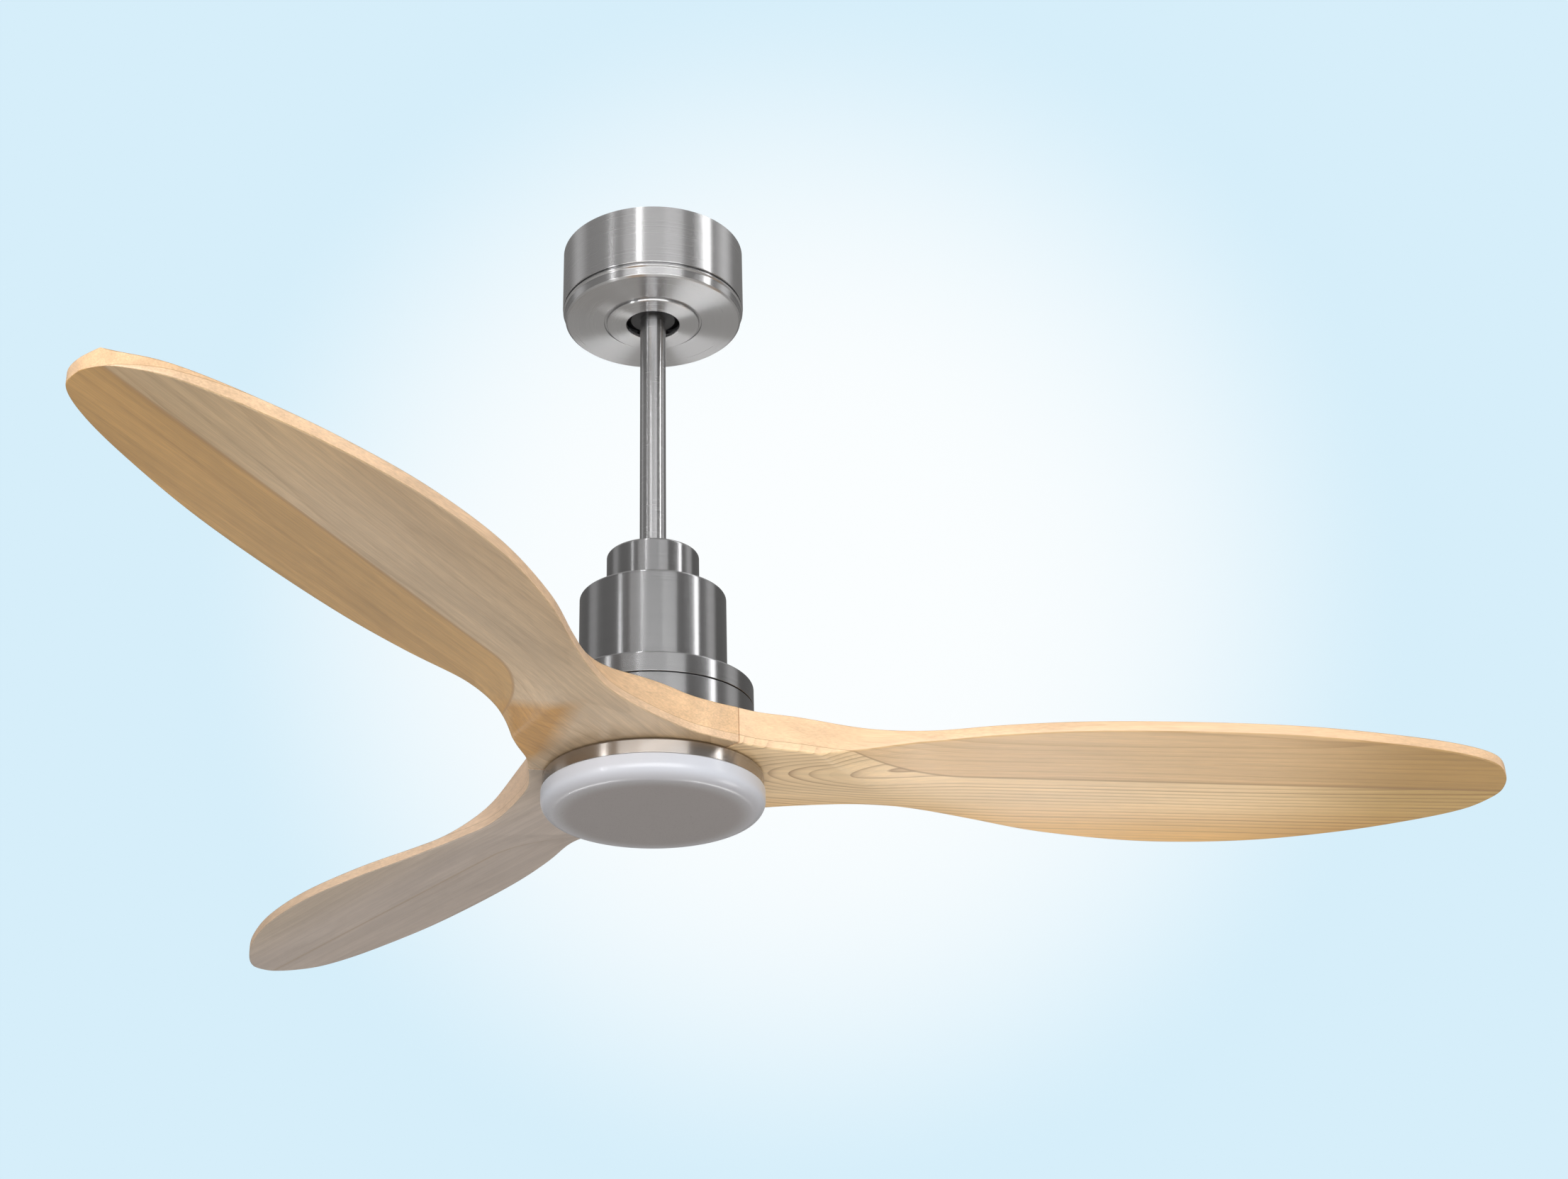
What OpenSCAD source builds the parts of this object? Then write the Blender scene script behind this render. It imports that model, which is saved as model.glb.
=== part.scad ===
// Ceiling fan with light: three carved wooden blades on a flat brushless motor,
// hung on a short rod from a ball in a ceiling bracket.
// Millimetres. +Z is up. The origin is on the fan's axis at the ceiling face of the bracket.

/* [Overall] */
// Radius from the axis to a blade's tip
fan_radius = 660; // [560:1:760]
// Length of the downrod
rod_length = 300; // [240:1:600]
// Turn of the first blade about the axis, in degrees
blade_azimuth = 4.2; // [0:0.1:119]

/* [Canopy] */
// Outside radius of the canopy
canopy_r = 75; // [70:1:95]
// Depth of the canopy's straight wall
canopy_wall_h = 53; // [50:1:70]
// Sheet thickness of the canopy and its trim
canopy_t = 1.2; // [0.8:0.1:2]
// Height of the trim cover under the canopy
trim_h = 12; // [9:0.5:18]
// Radius of the raised collar around the rod
collar_r = 38.5; // [34:0.5:44]
// Radius of the hole that the rod swings in
rod_hole_r = 22; // [19:0.5:26]

/* [Hanger] */
// Radius of the hanger ball
ball_r = 27; // [24:0.5:28.5]
// Thickness of the liner between ball and cup
liner_t = 3.2; // [2:0.1:4]
// Sheet thickness of the ceiling bracket
bracket_t = 2.5; // [2:0.1:3]
// Length of the bracket's ceiling plate
bracket_l = 130; // [120:1:136]
// Width of the bracket's ceiling plate
bracket_w = 50; // [46:1:60]
// Distance between the two ceiling slots
ceiling_slot_spacing = 112; // [111:0.5:116]
// Width of each ceiling slot
ceiling_slot_w = 5.6; // [4.5:0.1:6.5]
// End-to-end length of each ceiling slot
ceiling_slot_l = 9; // [6:0.5:9]
// Diameter of the cable hole in the ceiling plate
cable_hole_d = 12; // [8:0.5:14]

/* [Rod and yoke] */
// Outside radius of the downrod
rod_r = 10.5; // [9.5:0.1:12]
// Wall of the downrod
rod_wall = 2; // [1.2:0.1:3]
// Outside radius of the yoke's tube
yoke_r = 18; // [16:0.5:20]
// Radius of the yoke cover
yoke_cover_r = 36.5; // [32:0.5:44]
// Height of the yoke cover
yoke_cover_h = 37.5; // [36:0.5:44]

/* [Motor] */
// Radius of the fixed drum cover over the motor
drum_r = 57.5; // [52:0.5:66]
// Height of the drum cover
drum_h = 76; // [70:1:90]
// Outside radius of the motor shell
motor_r = 77.5; // [75:0.5:90]
// Height of the upper half of the motor shell
shell_top_h = 16; // [15:0.5:20]
// Height of the lower half of the motor shell
shell_bottom_h = 25; // [24:0.5:32]
// Wall of the motor shell halves
shell_t = 2.5; // [2:0.1:3]
// Radius of the hollow fixed shaft in the bearings
shaft_r = 8.5; // [7.5:0.5:9]
// Radius of the lead way through the shaft
shaft_bore_r = 5.5; // [4.5:0.5:6]
// Outside radius of a bearing
bearing_r = 20; // [18:0.5:22]
// Width of a bearing
bearing_w = 12; // [11:0.5:12]
// Number of stator teeth, with a coil on each
teeth = 18; // [12:3:24]
// Number of rotor magnets
magnets = 20; // [14:2:24]

/* [Blades] */
// Thickness of the wood at the hub
hub_wood_t = 28; // [24:1:32]
// Thickness of a blade along its outer edge
blade_t = 8.6; // [7:0.1:12]
// Extra thickness along the middle of a blade's top
blade_crown = 3; // [0:0.5:5]
// Pitch of the blades, in degrees
blade_pitch = 8.8; // [5:0.1:14]
// Radius of the opening through the wooden hub
hub_hole_r = 32; // [30:0.5:36]
// Width of the open seam between neighbouring blades
seam_gap = 0.6; // [0.2:0.1:1.5]

/* [Light] */
// Outside radius of the light pan
pan_r = 84; // [82:0.5:100]
// Height of the light pan
pan_h = 11; // [10:0.5:16]
// Sheet thickness of the light pan
pan_t = 1.2; // [1:0.1:2]
// Outside radius of the diffuser
diffuser_r = 85; // [83:0.5:101]
// Height of the diffuser below the pan
diffuser_h = 20; // [16:0.5:32]
// Wall of the diffuser
diffuser_t = 2; // [1.5:0.1:3]

/* [Fits] */
// Radial clearance between a ball or bearing face and its seat
running_gap = 0.05; // [0.02:0.01:0.1]
// Clearance between neighbouring pieces that move past each other
motion_gap = 1; // [0.6:0.1:2]
// Clearance of a screw or pin in a plain hole
hole_gap = 0.2; // [0.1:0.05:0.4]

/* [Hidden] */
$fn = 96;
eps = 0.01;
blade_count = 3;

// Screws: shank radius, head radius, head height
m3 = [1.5, 2.8, 1.8];
m4 = [2, 3.6, 2.4];
m5 = [2.5, 4.6, 3];

// Canopy levels
canopy_gap = 1;
canopy_bottom = -canopy_gap - canopy_wall_h;
canopy_floor = canopy_bottom + 2.5;
trim_groove = 1;
trim_top = canopy_bottom - trim_groove;
trim_bottom = trim_top - trim_h + trim_groove;
trim_hole_r = collar_r + 1.5;
collar_drop = 2;
collar_bottom = trim_bottom - collar_drop;

// Hanger levels: the ball sits in the cup in the bracket's lower plate
bracket_floor = canopy_floor + canopy_t;
ball_z = bracket_floor + 7;
ball_top = 8;
ball_bottom = -20;
seat_top = -5;
seat_bottom = -15;
cup_bottom = -16;
liner_r = ball_r + running_gap + liner_t;
cup_r = liner_r + running_gap;
cup_outer_r = cup_r + bracket_t;
canopy_opening_r = cup_outer_r + motion_gap + 0.5;
canopy_screw_r = canopy_opening_r + 7;
canopy_screw_angles = [-25, 25, 155, 205];
rod_slot_w = 2 * rod_r + 5;
arm_x = canopy_screw_r + 5;
arm_w = 26;
tab_w = arm_w - 8;
weld_recess = 0.3;
arm_gap = 2 * arm_x;
receiver_l = arm_gap - 8;
receiver_w = 32;
receiver_h = 19;
receiver_y = -8;
terminal_size = [24, 14, 10];
terminal_at = [28, 16];
earth_at = [-28, 16];
cable_hole_y = 16;

// Rod and yoke levels
rod_top = ball_z + ball_top + 6;
rod_bottom = rod_top - rod_length;
ball_pin_r = 3;
ball_pin_l = 2 * ball_r - 8;
ball_pin_z = ball_z + 3;
ball_screw_z = ball_z - 6;
yoke_top = rod_bottom + 40;
yoke_pin_r = 4;
yoke_pin_z = rod_bottom + 24;
yoke_pin_l = 2 * yoke_r + 10;
yoke_clip_r = 1;
yoke_clip_x = yoke_r + 2.5;
yoke_screw_z = rod_bottom + 12.5;
drum_top = rod_bottom + 9;
drum_bottom = drum_top - drum_h;
drum_sheet = 1.5;
cover_top = drum_top + yoke_cover_h;
yoke_flange_t = 5;
yoke_flange_r = yoke_r + 20;
yoke_boss_r = shaft_r + 7;
drum_screw_r = yoke_r + 10;
shaft_top = rod_bottom - 4;
yoke_bottom = shaft_top - 20;
driver_size = [48, 19, 36];

// Motor levels
shell_top = drum_bottom - motion_gap;
shell_groove = 1;
shell_split = shell_top - shell_top_h;
lower_shell_top = shell_split - shell_groove;
shell_bottom = lower_shell_top - shell_bottom_h;
gasket_t = 1;
wood_top = shell_bottom - gasket_t;
wood_bottom = wood_top - hub_wood_t;
upper_bearing_top = shell_top - shell_t;
lower_bearing_top = shell_bottom + shell_t + bearing_w;
stator_mid = (upper_bearing_top - bearing_w + lower_bearing_top) / 2;
stator_h = upper_bearing_top - bearing_w - lower_bearing_top - 2 * motion_gap;
shaft_shoulder_r = shaft_r + 2.5;
bearing_boss_r = bearing_r + 3;
shell_inner_r = motor_r - shell_t;
rotor_ring_t = 5;
shell_screw_count = 6;
shell_screw_ring_r = shell_inner_r - rotor_ring_t / 2;
magnet_t = 3;
magnet_h = 16;
magnet_band_low = stator_mid - magnet_h / 2;
magnet_r = shell_inner_r - rotor_ring_t;
stator_r = magnet_r - magnet_t - motion_gap;
tooth_w = 0.095 * stator_r;
coil_t = 2.2;
stator_core_r = 0.55 * stator_r;
shoe_t = 3.5;

// Bearing parts
ball_pitch_r = (shaft_r + bearing_r) / 2;
bearing_ball_r = 0.285 * (bearing_r - shaft_r);
bearing_ball_count = 8;
race_land = 0.165 * (bearing_r - shaft_r);
cage_h = 2 * bearing_ball_r + 1.8;

// Hub fastening, in each blade's own frame
hub_screw_r = motor_r - 15;
hub_screws = [[hub_screw_r, -38], [hub_screw_r - 12, 0], [hub_screw_r, 38]];
hub_counterbore_r = 6.5;
hub_counterbore_h = 9;
boss_r = 5;
boss_h = 4;

// Light levels
pan_top = wood_bottom - motion_gap;
pan_bottom = pan_top - pan_h;
mount_flange_t = 3;
mount_h = 18;
mount_r = hub_hole_r - 5;
mount_hub_r = shaft_r + 5;
mount_screw_r = mount_r - 6;
standoff_h = 3.5;
board_top = pan_top - pan_t - standoff_h;
board_t = 1.6;
board_hole_r = shaft_r + 8;
board_r = pan_r - 14;
board_screw_r = board_r - 26;
chip_size = [4, 4, 0.8];
diffuser_gap = 0.3;
diffuser_top = pan_bottom - diffuser_gap;
diffuser_bottom = pan_bottom - diffuser_h;
diffuser_round = 11;
diffuser_dome = 1.5;
lug_reach = 2.2;
rim_r = pan_r - pan_t - 0.4 - lug_reach;
rim_top = board_top;
lug_t = 1.6;
lug_angle = 20;
tab_top = rim_top - lug_t - 0.4;
nut_h = 4.5;
shaft_end = pan_top - pan_t - nut_h - 1;
lead_r = 2;
lead_top = rod_top + 1;
lead_end = shaft_end - 2;
lead_offset = (rod_r - rod_wall + yoke_pin_r) / 2;
lead_bend_top = yoke_pin_z - yoke_pin_r - 1;
lead_bend_end = rod_bottom + 2;

// ---------- helpers ----------

// A fastener with its shank along -Z and its socket head above z = 0
module screw(size, length) {
    translate([0, 0, -length]) cylinder(r = size[0], h = length, $fn = 24);
    difference() {
        cylinder(r = size[1], h = size[2], $fn = 32);
        translate([0, 0, size[2] / 2]) cylinder(r = 0.5 * size[1], h = size[2], $fn = 6);
    }
}

// The same fastener with its shank along +Z and its head below z = 0
module screw_up(size, length) {
    mirror([0, 0, 1]) screw(size, length);
}

// A plain tube from z upwards
module tube(outer, inner, z, h) {
    translate([0, 0, z]) difference() {
        cylinder(r = outer, h = h);
        translate([0, 0, -1]) cylinder(r = inner, h = h + 2);
    }
}

// A round hole along Z through everything between two levels
module hole(r, low, high) {
    translate([0, 0, low - 1]) cylinder(r = r, h = high - low + 2);
}

// Copies of the children at even angles around the axis
module around(count, r, start = 0) {
    for (i = [0 : count - 1])
        rotate([0, 0, start + i * 360 / count]) translate([r, 0, 0]) children();
}

// A slab of space between two levels, wider than any part
module slab(low, high) {
    translate([0, 0, low]) cylinder(r = 2 * motor_r, h = high - low);
}

module slot_cut(l, w, h) {
    for (s = [-1, 1]) translate([s * (l - w) / 2, 0, -h / 2]) cylinder(r = w / 2, h = h, $fn = 32);
    cube([l - w, w, h], center = true);
}

// ---------- ceiling side ----------

// Both arms of the cradle, or the tabs on their upper ends, between two levels
module cradle_arms(w, low, high) {
    for (x = [-arm_x - bracket_t, arm_x])
        translate([x, -w / 2, low]) cube([bracket_t, w, high - low]);
}

// Flat plate against the ceiling
module ceiling_bracket() {
    color("silver") difference() {
        translate([-bracket_l / 2, -bracket_w / 2, -bracket_t]) cube([bracket_l, bracket_w, bracket_t]);
        cradle_arms(tab_w, -2 * bracket_t, bracket_t);
        for (s = [-1, 1]) translate([s * ceiling_slot_spacing / 2, 0, -bracket_t / 2])
            slot_cut(ceiling_slot_l, ceiling_slot_w, 2 * bracket_t);
        translate([0, cable_hole_y, 0]) hole(cable_hole_d / 2, -bracket_t, 0);
        translate(earth_at) hole(m4[0], -bracket_t, 0);
    }
}

// Folded strap with the ball's cup in its floor, welded through the plate by its tabs
module hanger_cradle() {
    lower_l = arm_gap + 2 * bracket_t;
    lower_w = 2 * cup_outer_r + 6;
    color("silver") difference() {
        union() {
            cradle_arms(arm_w, bracket_floor, -bracket_t);
            cradle_arms(tab_w, bracket_floor, -weld_recess);
            translate([-lower_l / 2, -lower_w / 2, bracket_floor]) cube([lower_l, lower_w, bracket_t]);
            intersection() {
                translate([0, 0, ball_z]) sphere(r = cup_outer_r);
                slab(ball_z + cup_bottom, bracket_floor + bracket_t);
            }
        }
        translate([0, 0, ball_z]) sphere(r = cup_r);
        // the rod slips in sideways here before the ball drops into the cup
        translate([-rod_slot_w / 2, 0, ball_z - 2 * ball_r]) cube([rod_slot_w, 3 * ball_r, 2 * ball_r + 4]);
        for (a = canopy_screw_angles) rotate([0, 0, a]) translate([canopy_screw_r, 0, 0])
            hole(m4[0], bracket_floor, bracket_floor + bracket_t);
    }
}

module receiver() {
    color("black") translate([0, receiver_y, -bracket_t - receiver_h]) difference() {
        translate([-receiver_l / 2, -receiver_w / 2, 0]) cube([receiver_l, receiver_w, receiver_h]);
        // shallow step along the lid's edge
        for (s = [-1, 1])
            translate([-receiver_l, s * receiver_w / 2 - 0.5, 5]) cube([2 * receiver_l, 1, 0.8]);
    }
}

module terminal_block() {
    way = terminal_size[0] / 3;
    color("ivory") translate([terminal_at[0], terminal_at[1], -bracket_t - terminal_size[2]]) difference() {
        translate([-terminal_size[0] / 2, -terminal_size[1] / 2, 0]) cube(terminal_size);
        for (i = [-1 : 1]) {
            translate([i * way, 0, -1]) cylinder(r = 1.8, h = 5, $fn = 24);
            translate([i * way, -terminal_size[1], 6]) rotate([-90, 0, 0])
                cylinder(r = 1.6, h = 2 * terminal_size[1], $fn = 24);
        }
    }
}

module earth_screw() {
    color("green") translate([earth_at[0], earth_at[1], -bracket_t]) screw_up(m4, bracket_t - 0.2);
}

module canopy() {
    color("lightgray") difference() {
        rotate_extrude($fn = 128) polygon([
            [canopy_r - canopy_t, -canopy_gap], [canopy_r, -canopy_gap],
            [canopy_r, canopy_bottom + 0.6], [canopy_r - 0.6, canopy_bottom],
            [canopy_r - canopy_t, canopy_bottom], [canopy_r - canopy_t, canopy_floor],
            [canopy_opening_r, canopy_floor], [canopy_opening_r, canopy_floor + canopy_t],
            [canopy_r - canopy_t, canopy_floor + canopy_t]
        ]);
        for (a = canopy_screw_angles) rotate([0, 0, a]) translate([canopy_screw_r, 0, 0])
            hole(m4[0] + hole_gap, canopy_floor, canopy_floor + canopy_t);
    }
}

module canopy_screws() {
    color("silver") for (a = canopy_screw_angles) rotate([0, 0, a])
        translate([canopy_screw_r, 0, canopy_floor]) screw_up(m4, canopy_t + bracket_t + 2);
}

// Twist-on trim under the canopy: a lip with a small bead and a flat face
module canopy_cover() {
    spigot_r = canopy_r - canopy_t - hole_gap;
    color("lightgray") rotate_extrude($fn = 128) polygon([
        [spigot_r, canopy_floor - 0.4], [spigot_r, trim_top], [canopy_r - 0.5, trim_top],
        [canopy_r, trim_top - 0.5], [canopy_r, trim_top - 1.3], [canopy_r - 0.8, trim_top - 2],
        [canopy_r - 1.8, trim_bottom + 1.6], [canopy_r - 2.3, trim_bottom + 0.5],
        [canopy_r - 3.4, trim_bottom],
        [trim_hole_r, trim_bottom], [trim_hole_r, trim_bottom + canopy_t],
        [canopy_r - 4, trim_bottom + canopy_t], [canopy_r - 3, trim_bottom + 2.4],
        [spigot_r - canopy_t, trim_top - 2], [spigot_r - canopy_t, canopy_floor - 0.4]
    ]);
}

// Raised collar around the rod, resting on the trim's inner edge
module canopy_collar() {
    seat = trim_bottom + canopy_t;
    color("lightgray") rotate_extrude($fn = 128) polygon([
        [collar_r - canopy_t, seat + canopy_t], [trim_hole_r + 3, seat + canopy_t], [trim_hole_r + 3, seat],
        [collar_r, seat], [collar_r, collar_bottom + 1.8], [collar_r - 0.6, collar_bottom + 0.6],
        [collar_r - 1.8, collar_bottom], [rod_hole_r + 1, collar_bottom], [rod_hole_r, collar_bottom + 0.6],
        [rod_hole_r, seat], [rod_hole_r + canopy_t, seat], [rod_hole_r + canopy_t, collar_bottom + canopy_t],
        [collar_r - 2.2, collar_bottom + canopy_t], [collar_r - canopy_t, collar_bottom + 2.2]
    ]);
}

// ---------- hanger ----------

module rod_slot_cut() {
    translate([-rod_slot_w / 2, 0, ball_z - 2 * ball_r]) cube([rod_slot_w, 3 * ball_r, 4 * ball_r]);
}

module ball_seat() {
    color("dimgray") difference() {
        intersection() {
            translate([0, 0, ball_z]) sphere(r = liner_r);
            slab(ball_z + seat_bottom, ball_z + seat_top);
        }
        translate([0, 0, ball_z]) sphere(r = ball_r + running_gap);
        rod_slot_cut();
    }
}

module hanger_ball() {
    color("gray") difference() {
        intersection() {
            translate([0, 0, ball_z]) sphere(r = ball_r);
            slab(ball_z + ball_bottom, ball_z + ball_top);
        }
        hole(rod_r, ball_z + ball_bottom, ball_z + ball_top);
        translate([0, 0, ball_pin_z]) rotate([0, 90, 0])
            cylinder(r = ball_pin_r, h = 3 * ball_r, center = true, $fn = 48);
        translate([0, 0, ball_screw_z]) rotate([-90, 0, 0]) cylinder(r = m5[0], h = 2 * ball_r, $fn = 48);
    }
}

module ball_pin() {
    color("silver") translate([0, 0, ball_pin_z]) rotate([0, 90, 0])
        cylinder(r = ball_pin_r, h = ball_pin_l, center = true, $fn = 48);
}

// Cup-point set screw that locks the ball on the rod
module ball_set_screw() {
    length = ball_r - rod_r - 3;
    color("dimgray") translate([0, rod_r, ball_screw_z]) rotate([-90, 0, 0]) difference() {
        cylinder(r = m5[0], h = length, $fn = 48);
        translate([0, 0, length - 2]) cylinder(r = 1.3, h = 4, $fn = 6);
    }
}

module downrod() {
    color("silver") difference() {
        translate([0, 0, rod_bottom]) cylinder(r = rod_r, h = rod_length);
        hole(rod_r - rod_wall, rod_bottom, rod_top);
        translate([0, 0, ball_pin_z]) rotate([0, 90, 0])
            cylinder(r = ball_pin_r, h = 4 * rod_r, center = true, $fn = 48);
        translate([0, 0, yoke_pin_z]) rotate([0, 90, 0])
            cylinder(r = yoke_pin_r, h = 4 * rod_r, center = true, $fn = 48);
    }
}

// ---------- rod coupling and top covers ----------

module yoke() {
    flange_top = drum_top - drum_sheet;
    color("dimgray") difference() {
        union() {
            translate([0, 0, yoke_bottom]) cylinder(r = yoke_boss_r, h = flange_top - yoke_bottom);
            translate([0, 0, flange_top - yoke_flange_t]) cylinder(r = yoke_flange_r, h = yoke_flange_t);
            translate([0, 0, flange_top - yoke_flange_t])
                cylinder(r = yoke_r, h = yoke_top - flange_top + yoke_flange_t);
        }
        translate([0, 0, rod_bottom]) cylinder(r = rod_r, h = 2 * (yoke_top - rod_bottom));
        hole(shaft_bore_r, shaft_top, rod_bottom);
        translate([0, 0, yoke_bottom - 1]) cylinder(r = shaft_r, h = shaft_top - yoke_bottom + 1);
        translate([0, 0, yoke_pin_z]) rotate([0, 90, 0])
            cylinder(r = yoke_pin_r, h = 4 * yoke_r, center = true, $fn = 48);
        translate([0, 0, yoke_screw_z]) rotate([90, 0, 0])
            cylinder(r = m5[0], h = 4 * yoke_r, center = true, $fn = 48);
        around(3, drum_screw_r, 30) hole(m4[0], flange_top - yoke_flange_t, flange_top);
    }
}

module yoke_pin() {
    color("silver") difference() {
        translate([0, 0, yoke_pin_z]) rotate([0, 90, 0]) union() {
            cylinder(r = yoke_pin_r, h = yoke_pin_l, center = true, $fn = 48);
            translate([0, 0, -yoke_pin_l / 2 - 2]) cylinder(r = yoke_pin_r + 1.5, h = 2, $fn = 48);
        }
        translate([yoke_clip_x, 0, yoke_pin_z])
            cylinder(r = yoke_clip_r, h = 4 * yoke_pin_r, center = true, $fn = 24);
    }
}

// Split clip through the free end of the yoke pin
module yoke_clip() {
    color("silver") translate([yoke_clip_x, 0, yoke_pin_z]) {
        cylinder(r = yoke_clip_r, h = 2 * yoke_pin_r + 5, center = true, $fn = 24);
        translate([0, 0, yoke_pin_r + 4]) rotate([0, 90, 0])
            rotate_extrude($fn = 48) translate([2, 0]) circle(r = yoke_clip_r, $fn = 24);
    }
}

module yoke_set_screws() {
    length = yoke_r - rod_r + 3;
    color("dimgray") for (a = [90, -90]) rotate([0, 0, a]) translate([rod_r, 0, yoke_screw_z])
        rotate([0, 90, 0]) difference() {
            cylinder(r = m5[0], h = length, $fn = 48);
            translate([0, 0, length - 2]) cylinder(r = 1.3, h = 4, $fn = 6);
        }
}

// Plain cup that slides down the rod over the coupling
module yoke_cover() {
    t = drum_sheet;
    bore = rod_r + hole_gap;
    color("lightgray") rotate_extrude($fn = 128) polygon([
        [bore, cover_top - t], [bore, cover_top], [yoke_cover_r - 2.5, cover_top],
        [yoke_cover_r - 0.75, cover_top - 0.75], [yoke_cover_r, cover_top - 2.5], [yoke_cover_r, drum_top],
        [yoke_cover_r - t, drum_top], [yoke_cover_r - t, cover_top - 3], [yoke_cover_r - 3, cover_top - t]
    ]);
}

module drum_cover() {
    t = drum_sheet;
    color("lightgray") difference() {
        rotate_extrude($fn = 128) polygon([
            [yoke_r, drum_top - t], [yoke_r, drum_top],
            [drum_r - 2, drum_top], [drum_r - 0.6, drum_top - 0.6],
            [drum_r, drum_top - 2], [drum_r, drum_bottom], [drum_r - t, drum_bottom],
            [drum_r - t, drum_top - 2.5], [drum_r - 2.5, drum_top - t]
        ]);
        around(3, drum_screw_r, 30) hole(m4[0] + hole_gap, drum_top - t, drum_top);
    }
}

module drum_screws() {
    color("silver") around(3, drum_screw_r, 30) translate([0, 0, drum_top])
        screw(m4, drum_sheet + yoke_flange_t + 2);
}

module led_driver() {
    top = drum_top - drum_sheet - yoke_flange_t;
    y0 = yoke_boss_r + 7;
    color("white") difference() {
        translate([-driver_size[0] / 2, y0, top - driver_size[2]]) cube(driver_size);
        for (s = [-1, 1])
            translate([s * (driver_size[0] / 2 - 5), y0 + driver_size[1] / 2, top - driver_size[2] - 1])
                cylinder(r = 2, h = 6, $fn = 24);
    }
}

// ---------- motor: fixed shaft and stator, turning shells ----------

module hollow_shaft() {
    shoulder_top = upper_bearing_top - bearing_w;
    color("silver") difference() {
        union() {
            translate([0, 0, shaft_end]) cylinder(r = shaft_r, h = shaft_top - shaft_end);
            translate([0, 0, lower_bearing_top])
                cylinder(r = shaft_shoulder_r, h = shoulder_top - lower_bearing_top);
        }
        hole(shaft_bore_r, shaft_end, shaft_top);
    }
}

module stator_core() {
    color("dimgray") translate([0, 0, stator_mid - stator_h / 2])
    linear_extrude(height = stator_h) difference() {
        union() {
            circle(r = stator_core_r);
            around(teeth, 0) translate([0, -tooth_w / 2]) square([stator_r - 1, tooth_w]);
            intersection() {
                difference() {
                    circle(r = stator_r);
                    circle(r = stator_r - shoe_t);
                }
                around(teeth, 0) translate([0, -0.15 * stator_r * 18 / teeth])
                    square([2 * stator_r, 0.3 * stator_r * 18 / teeth]);
            }
        }
        circle(r = shaft_shoulder_r);
    }
}

module stator_windings() {
    length = stator_r - shoe_t - stator_core_r - 2;
    outer_h = stator_h + 2 * coil_t + 1;
    color("peru") around(teeth, stator_core_r + 1) translate([0, 0, stator_mid]) difference() {
        translate([0, -tooth_w / 2 - coil_t, -outer_h / 2]) cube([length, tooth_w + 2 * coil_t, outer_h]);
        translate([-1, -tooth_w / 2, -stator_h / 2]) cube([length + 2, tooth_w, stator_h]);
    }
}

module at_bearings() {
    for (z = [upper_bearing_top, lower_bearing_top]) translate([0, 0, z - bearing_w / 2]) children();
}

// Space swept by the balls of one bearing
module ball_track() {
    rotate_extrude() translate([ball_pitch_r, 0]) circle(r = bearing_ball_r + running_gap);
}

module bearing_inner_rings() {
    color("silver") at_bearings() difference() {
        tube(ball_pitch_r - race_land, shaft_r, -bearing_w / 2, bearing_w);
        ball_track();
    }
}

module bearing_outer_rings() {
    color("silver") at_bearings() difference() {
        tube(bearing_r, ball_pitch_r + race_land, -bearing_w / 2, bearing_w);
        ball_track();
    }
}

module bearing_balls() {
    color("lightgray") at_bearings() around(bearing_ball_count, ball_pitch_r) sphere(r = bearing_ball_r);
}

module bearing_cages() {
    half_w = race_land - 0.5;
    color("goldenrod") at_bearings() difference() {
        tube(ball_pitch_r + half_w, ball_pitch_r - half_w, -cage_h / 2, cage_h);
        around(bearing_ball_count, 0) rotate([0, 90, 0])
            cylinder(r = bearing_ball_r + running_gap, h = bearing_r, $fn = 48);
    }
}

module motor_shell_top() {
    color("lightgray") difference() {
        union() {
            rotate_extrude($fn = 128) polygon([
                [shaft_shoulder_r + 2, shell_top - shell_t], [shaft_shoulder_r + 2, shell_top],
                [motor_r - 1.5, shell_top], [motor_r, shell_top - 1.5], [motor_r, shell_split],
                [shell_inner_r, shell_split], [shell_inner_r, shell_top - shell_t]
            ]);
            tube(bearing_boss_r, bearing_r, upper_bearing_top - bearing_w, bearing_w + eps);
        }
        around(shell_screw_count, shell_screw_ring_r) translate([0, 0, shell_split])
            cylinder(r = m3[0], h = shell_top - 1 - shell_split, $fn = 24);
    }
}

module motor_shell_bottom() {
    color("lightgray") difference() {
        union() {
            rotate_extrude($fn = 128) polygon([
                [shaft_shoulder_r + 2, shell_bottom],
                [motor_r - 1, shell_bottom], [motor_r, shell_bottom + 1],
                [motor_r, lower_shell_top], [shell_inner_r, lower_shell_top],
                [shell_inner_r, shell_bottom + shell_t], [shaft_shoulder_r + 2, shell_bottom + shell_t]
            ]);
            tube(bearing_boss_r, bearing_r, lower_bearing_top - bearing_w - eps, bearing_w + eps);
            at_hub_screws() translate([0, 0, shell_bottom + shell_t - eps])
                cylinder(r = boss_r, h = boss_h, $fn = 32);
        }
        at_hub_screws() hole(m5[0], shell_bottom, shell_bottom + shell_t + boss_h);
        around(shell_screw_count, shell_screw_ring_r) {
            hole(m3[0] + hole_gap, shell_bottom, shell_bottom + shell_t);
            translate([0, 0, shell_bottom - 1]) cylinder(r = m3[1] + hole_gap, h = 1 + m3[2], $fn = 32);
        }
    }
}

module shell_screws() {
    color("silver") around(shell_screw_count, shell_screw_ring_r) translate([0, 0, shell_bottom + m3[2]])
        screw_up(m3, shell_top - 4 - shell_bottom - m3[2]);
}

module rotor_ring() {
    low = shell_bottom + shell_t;
    color("dimgray") difference() {
        tube(shell_inner_r, magnet_r, low, shell_top - shell_t - low);
        around(shell_screw_count, shell_screw_ring_r) hole(m3[0] + hole_gap, low, shell_top);
    }
}

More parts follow.
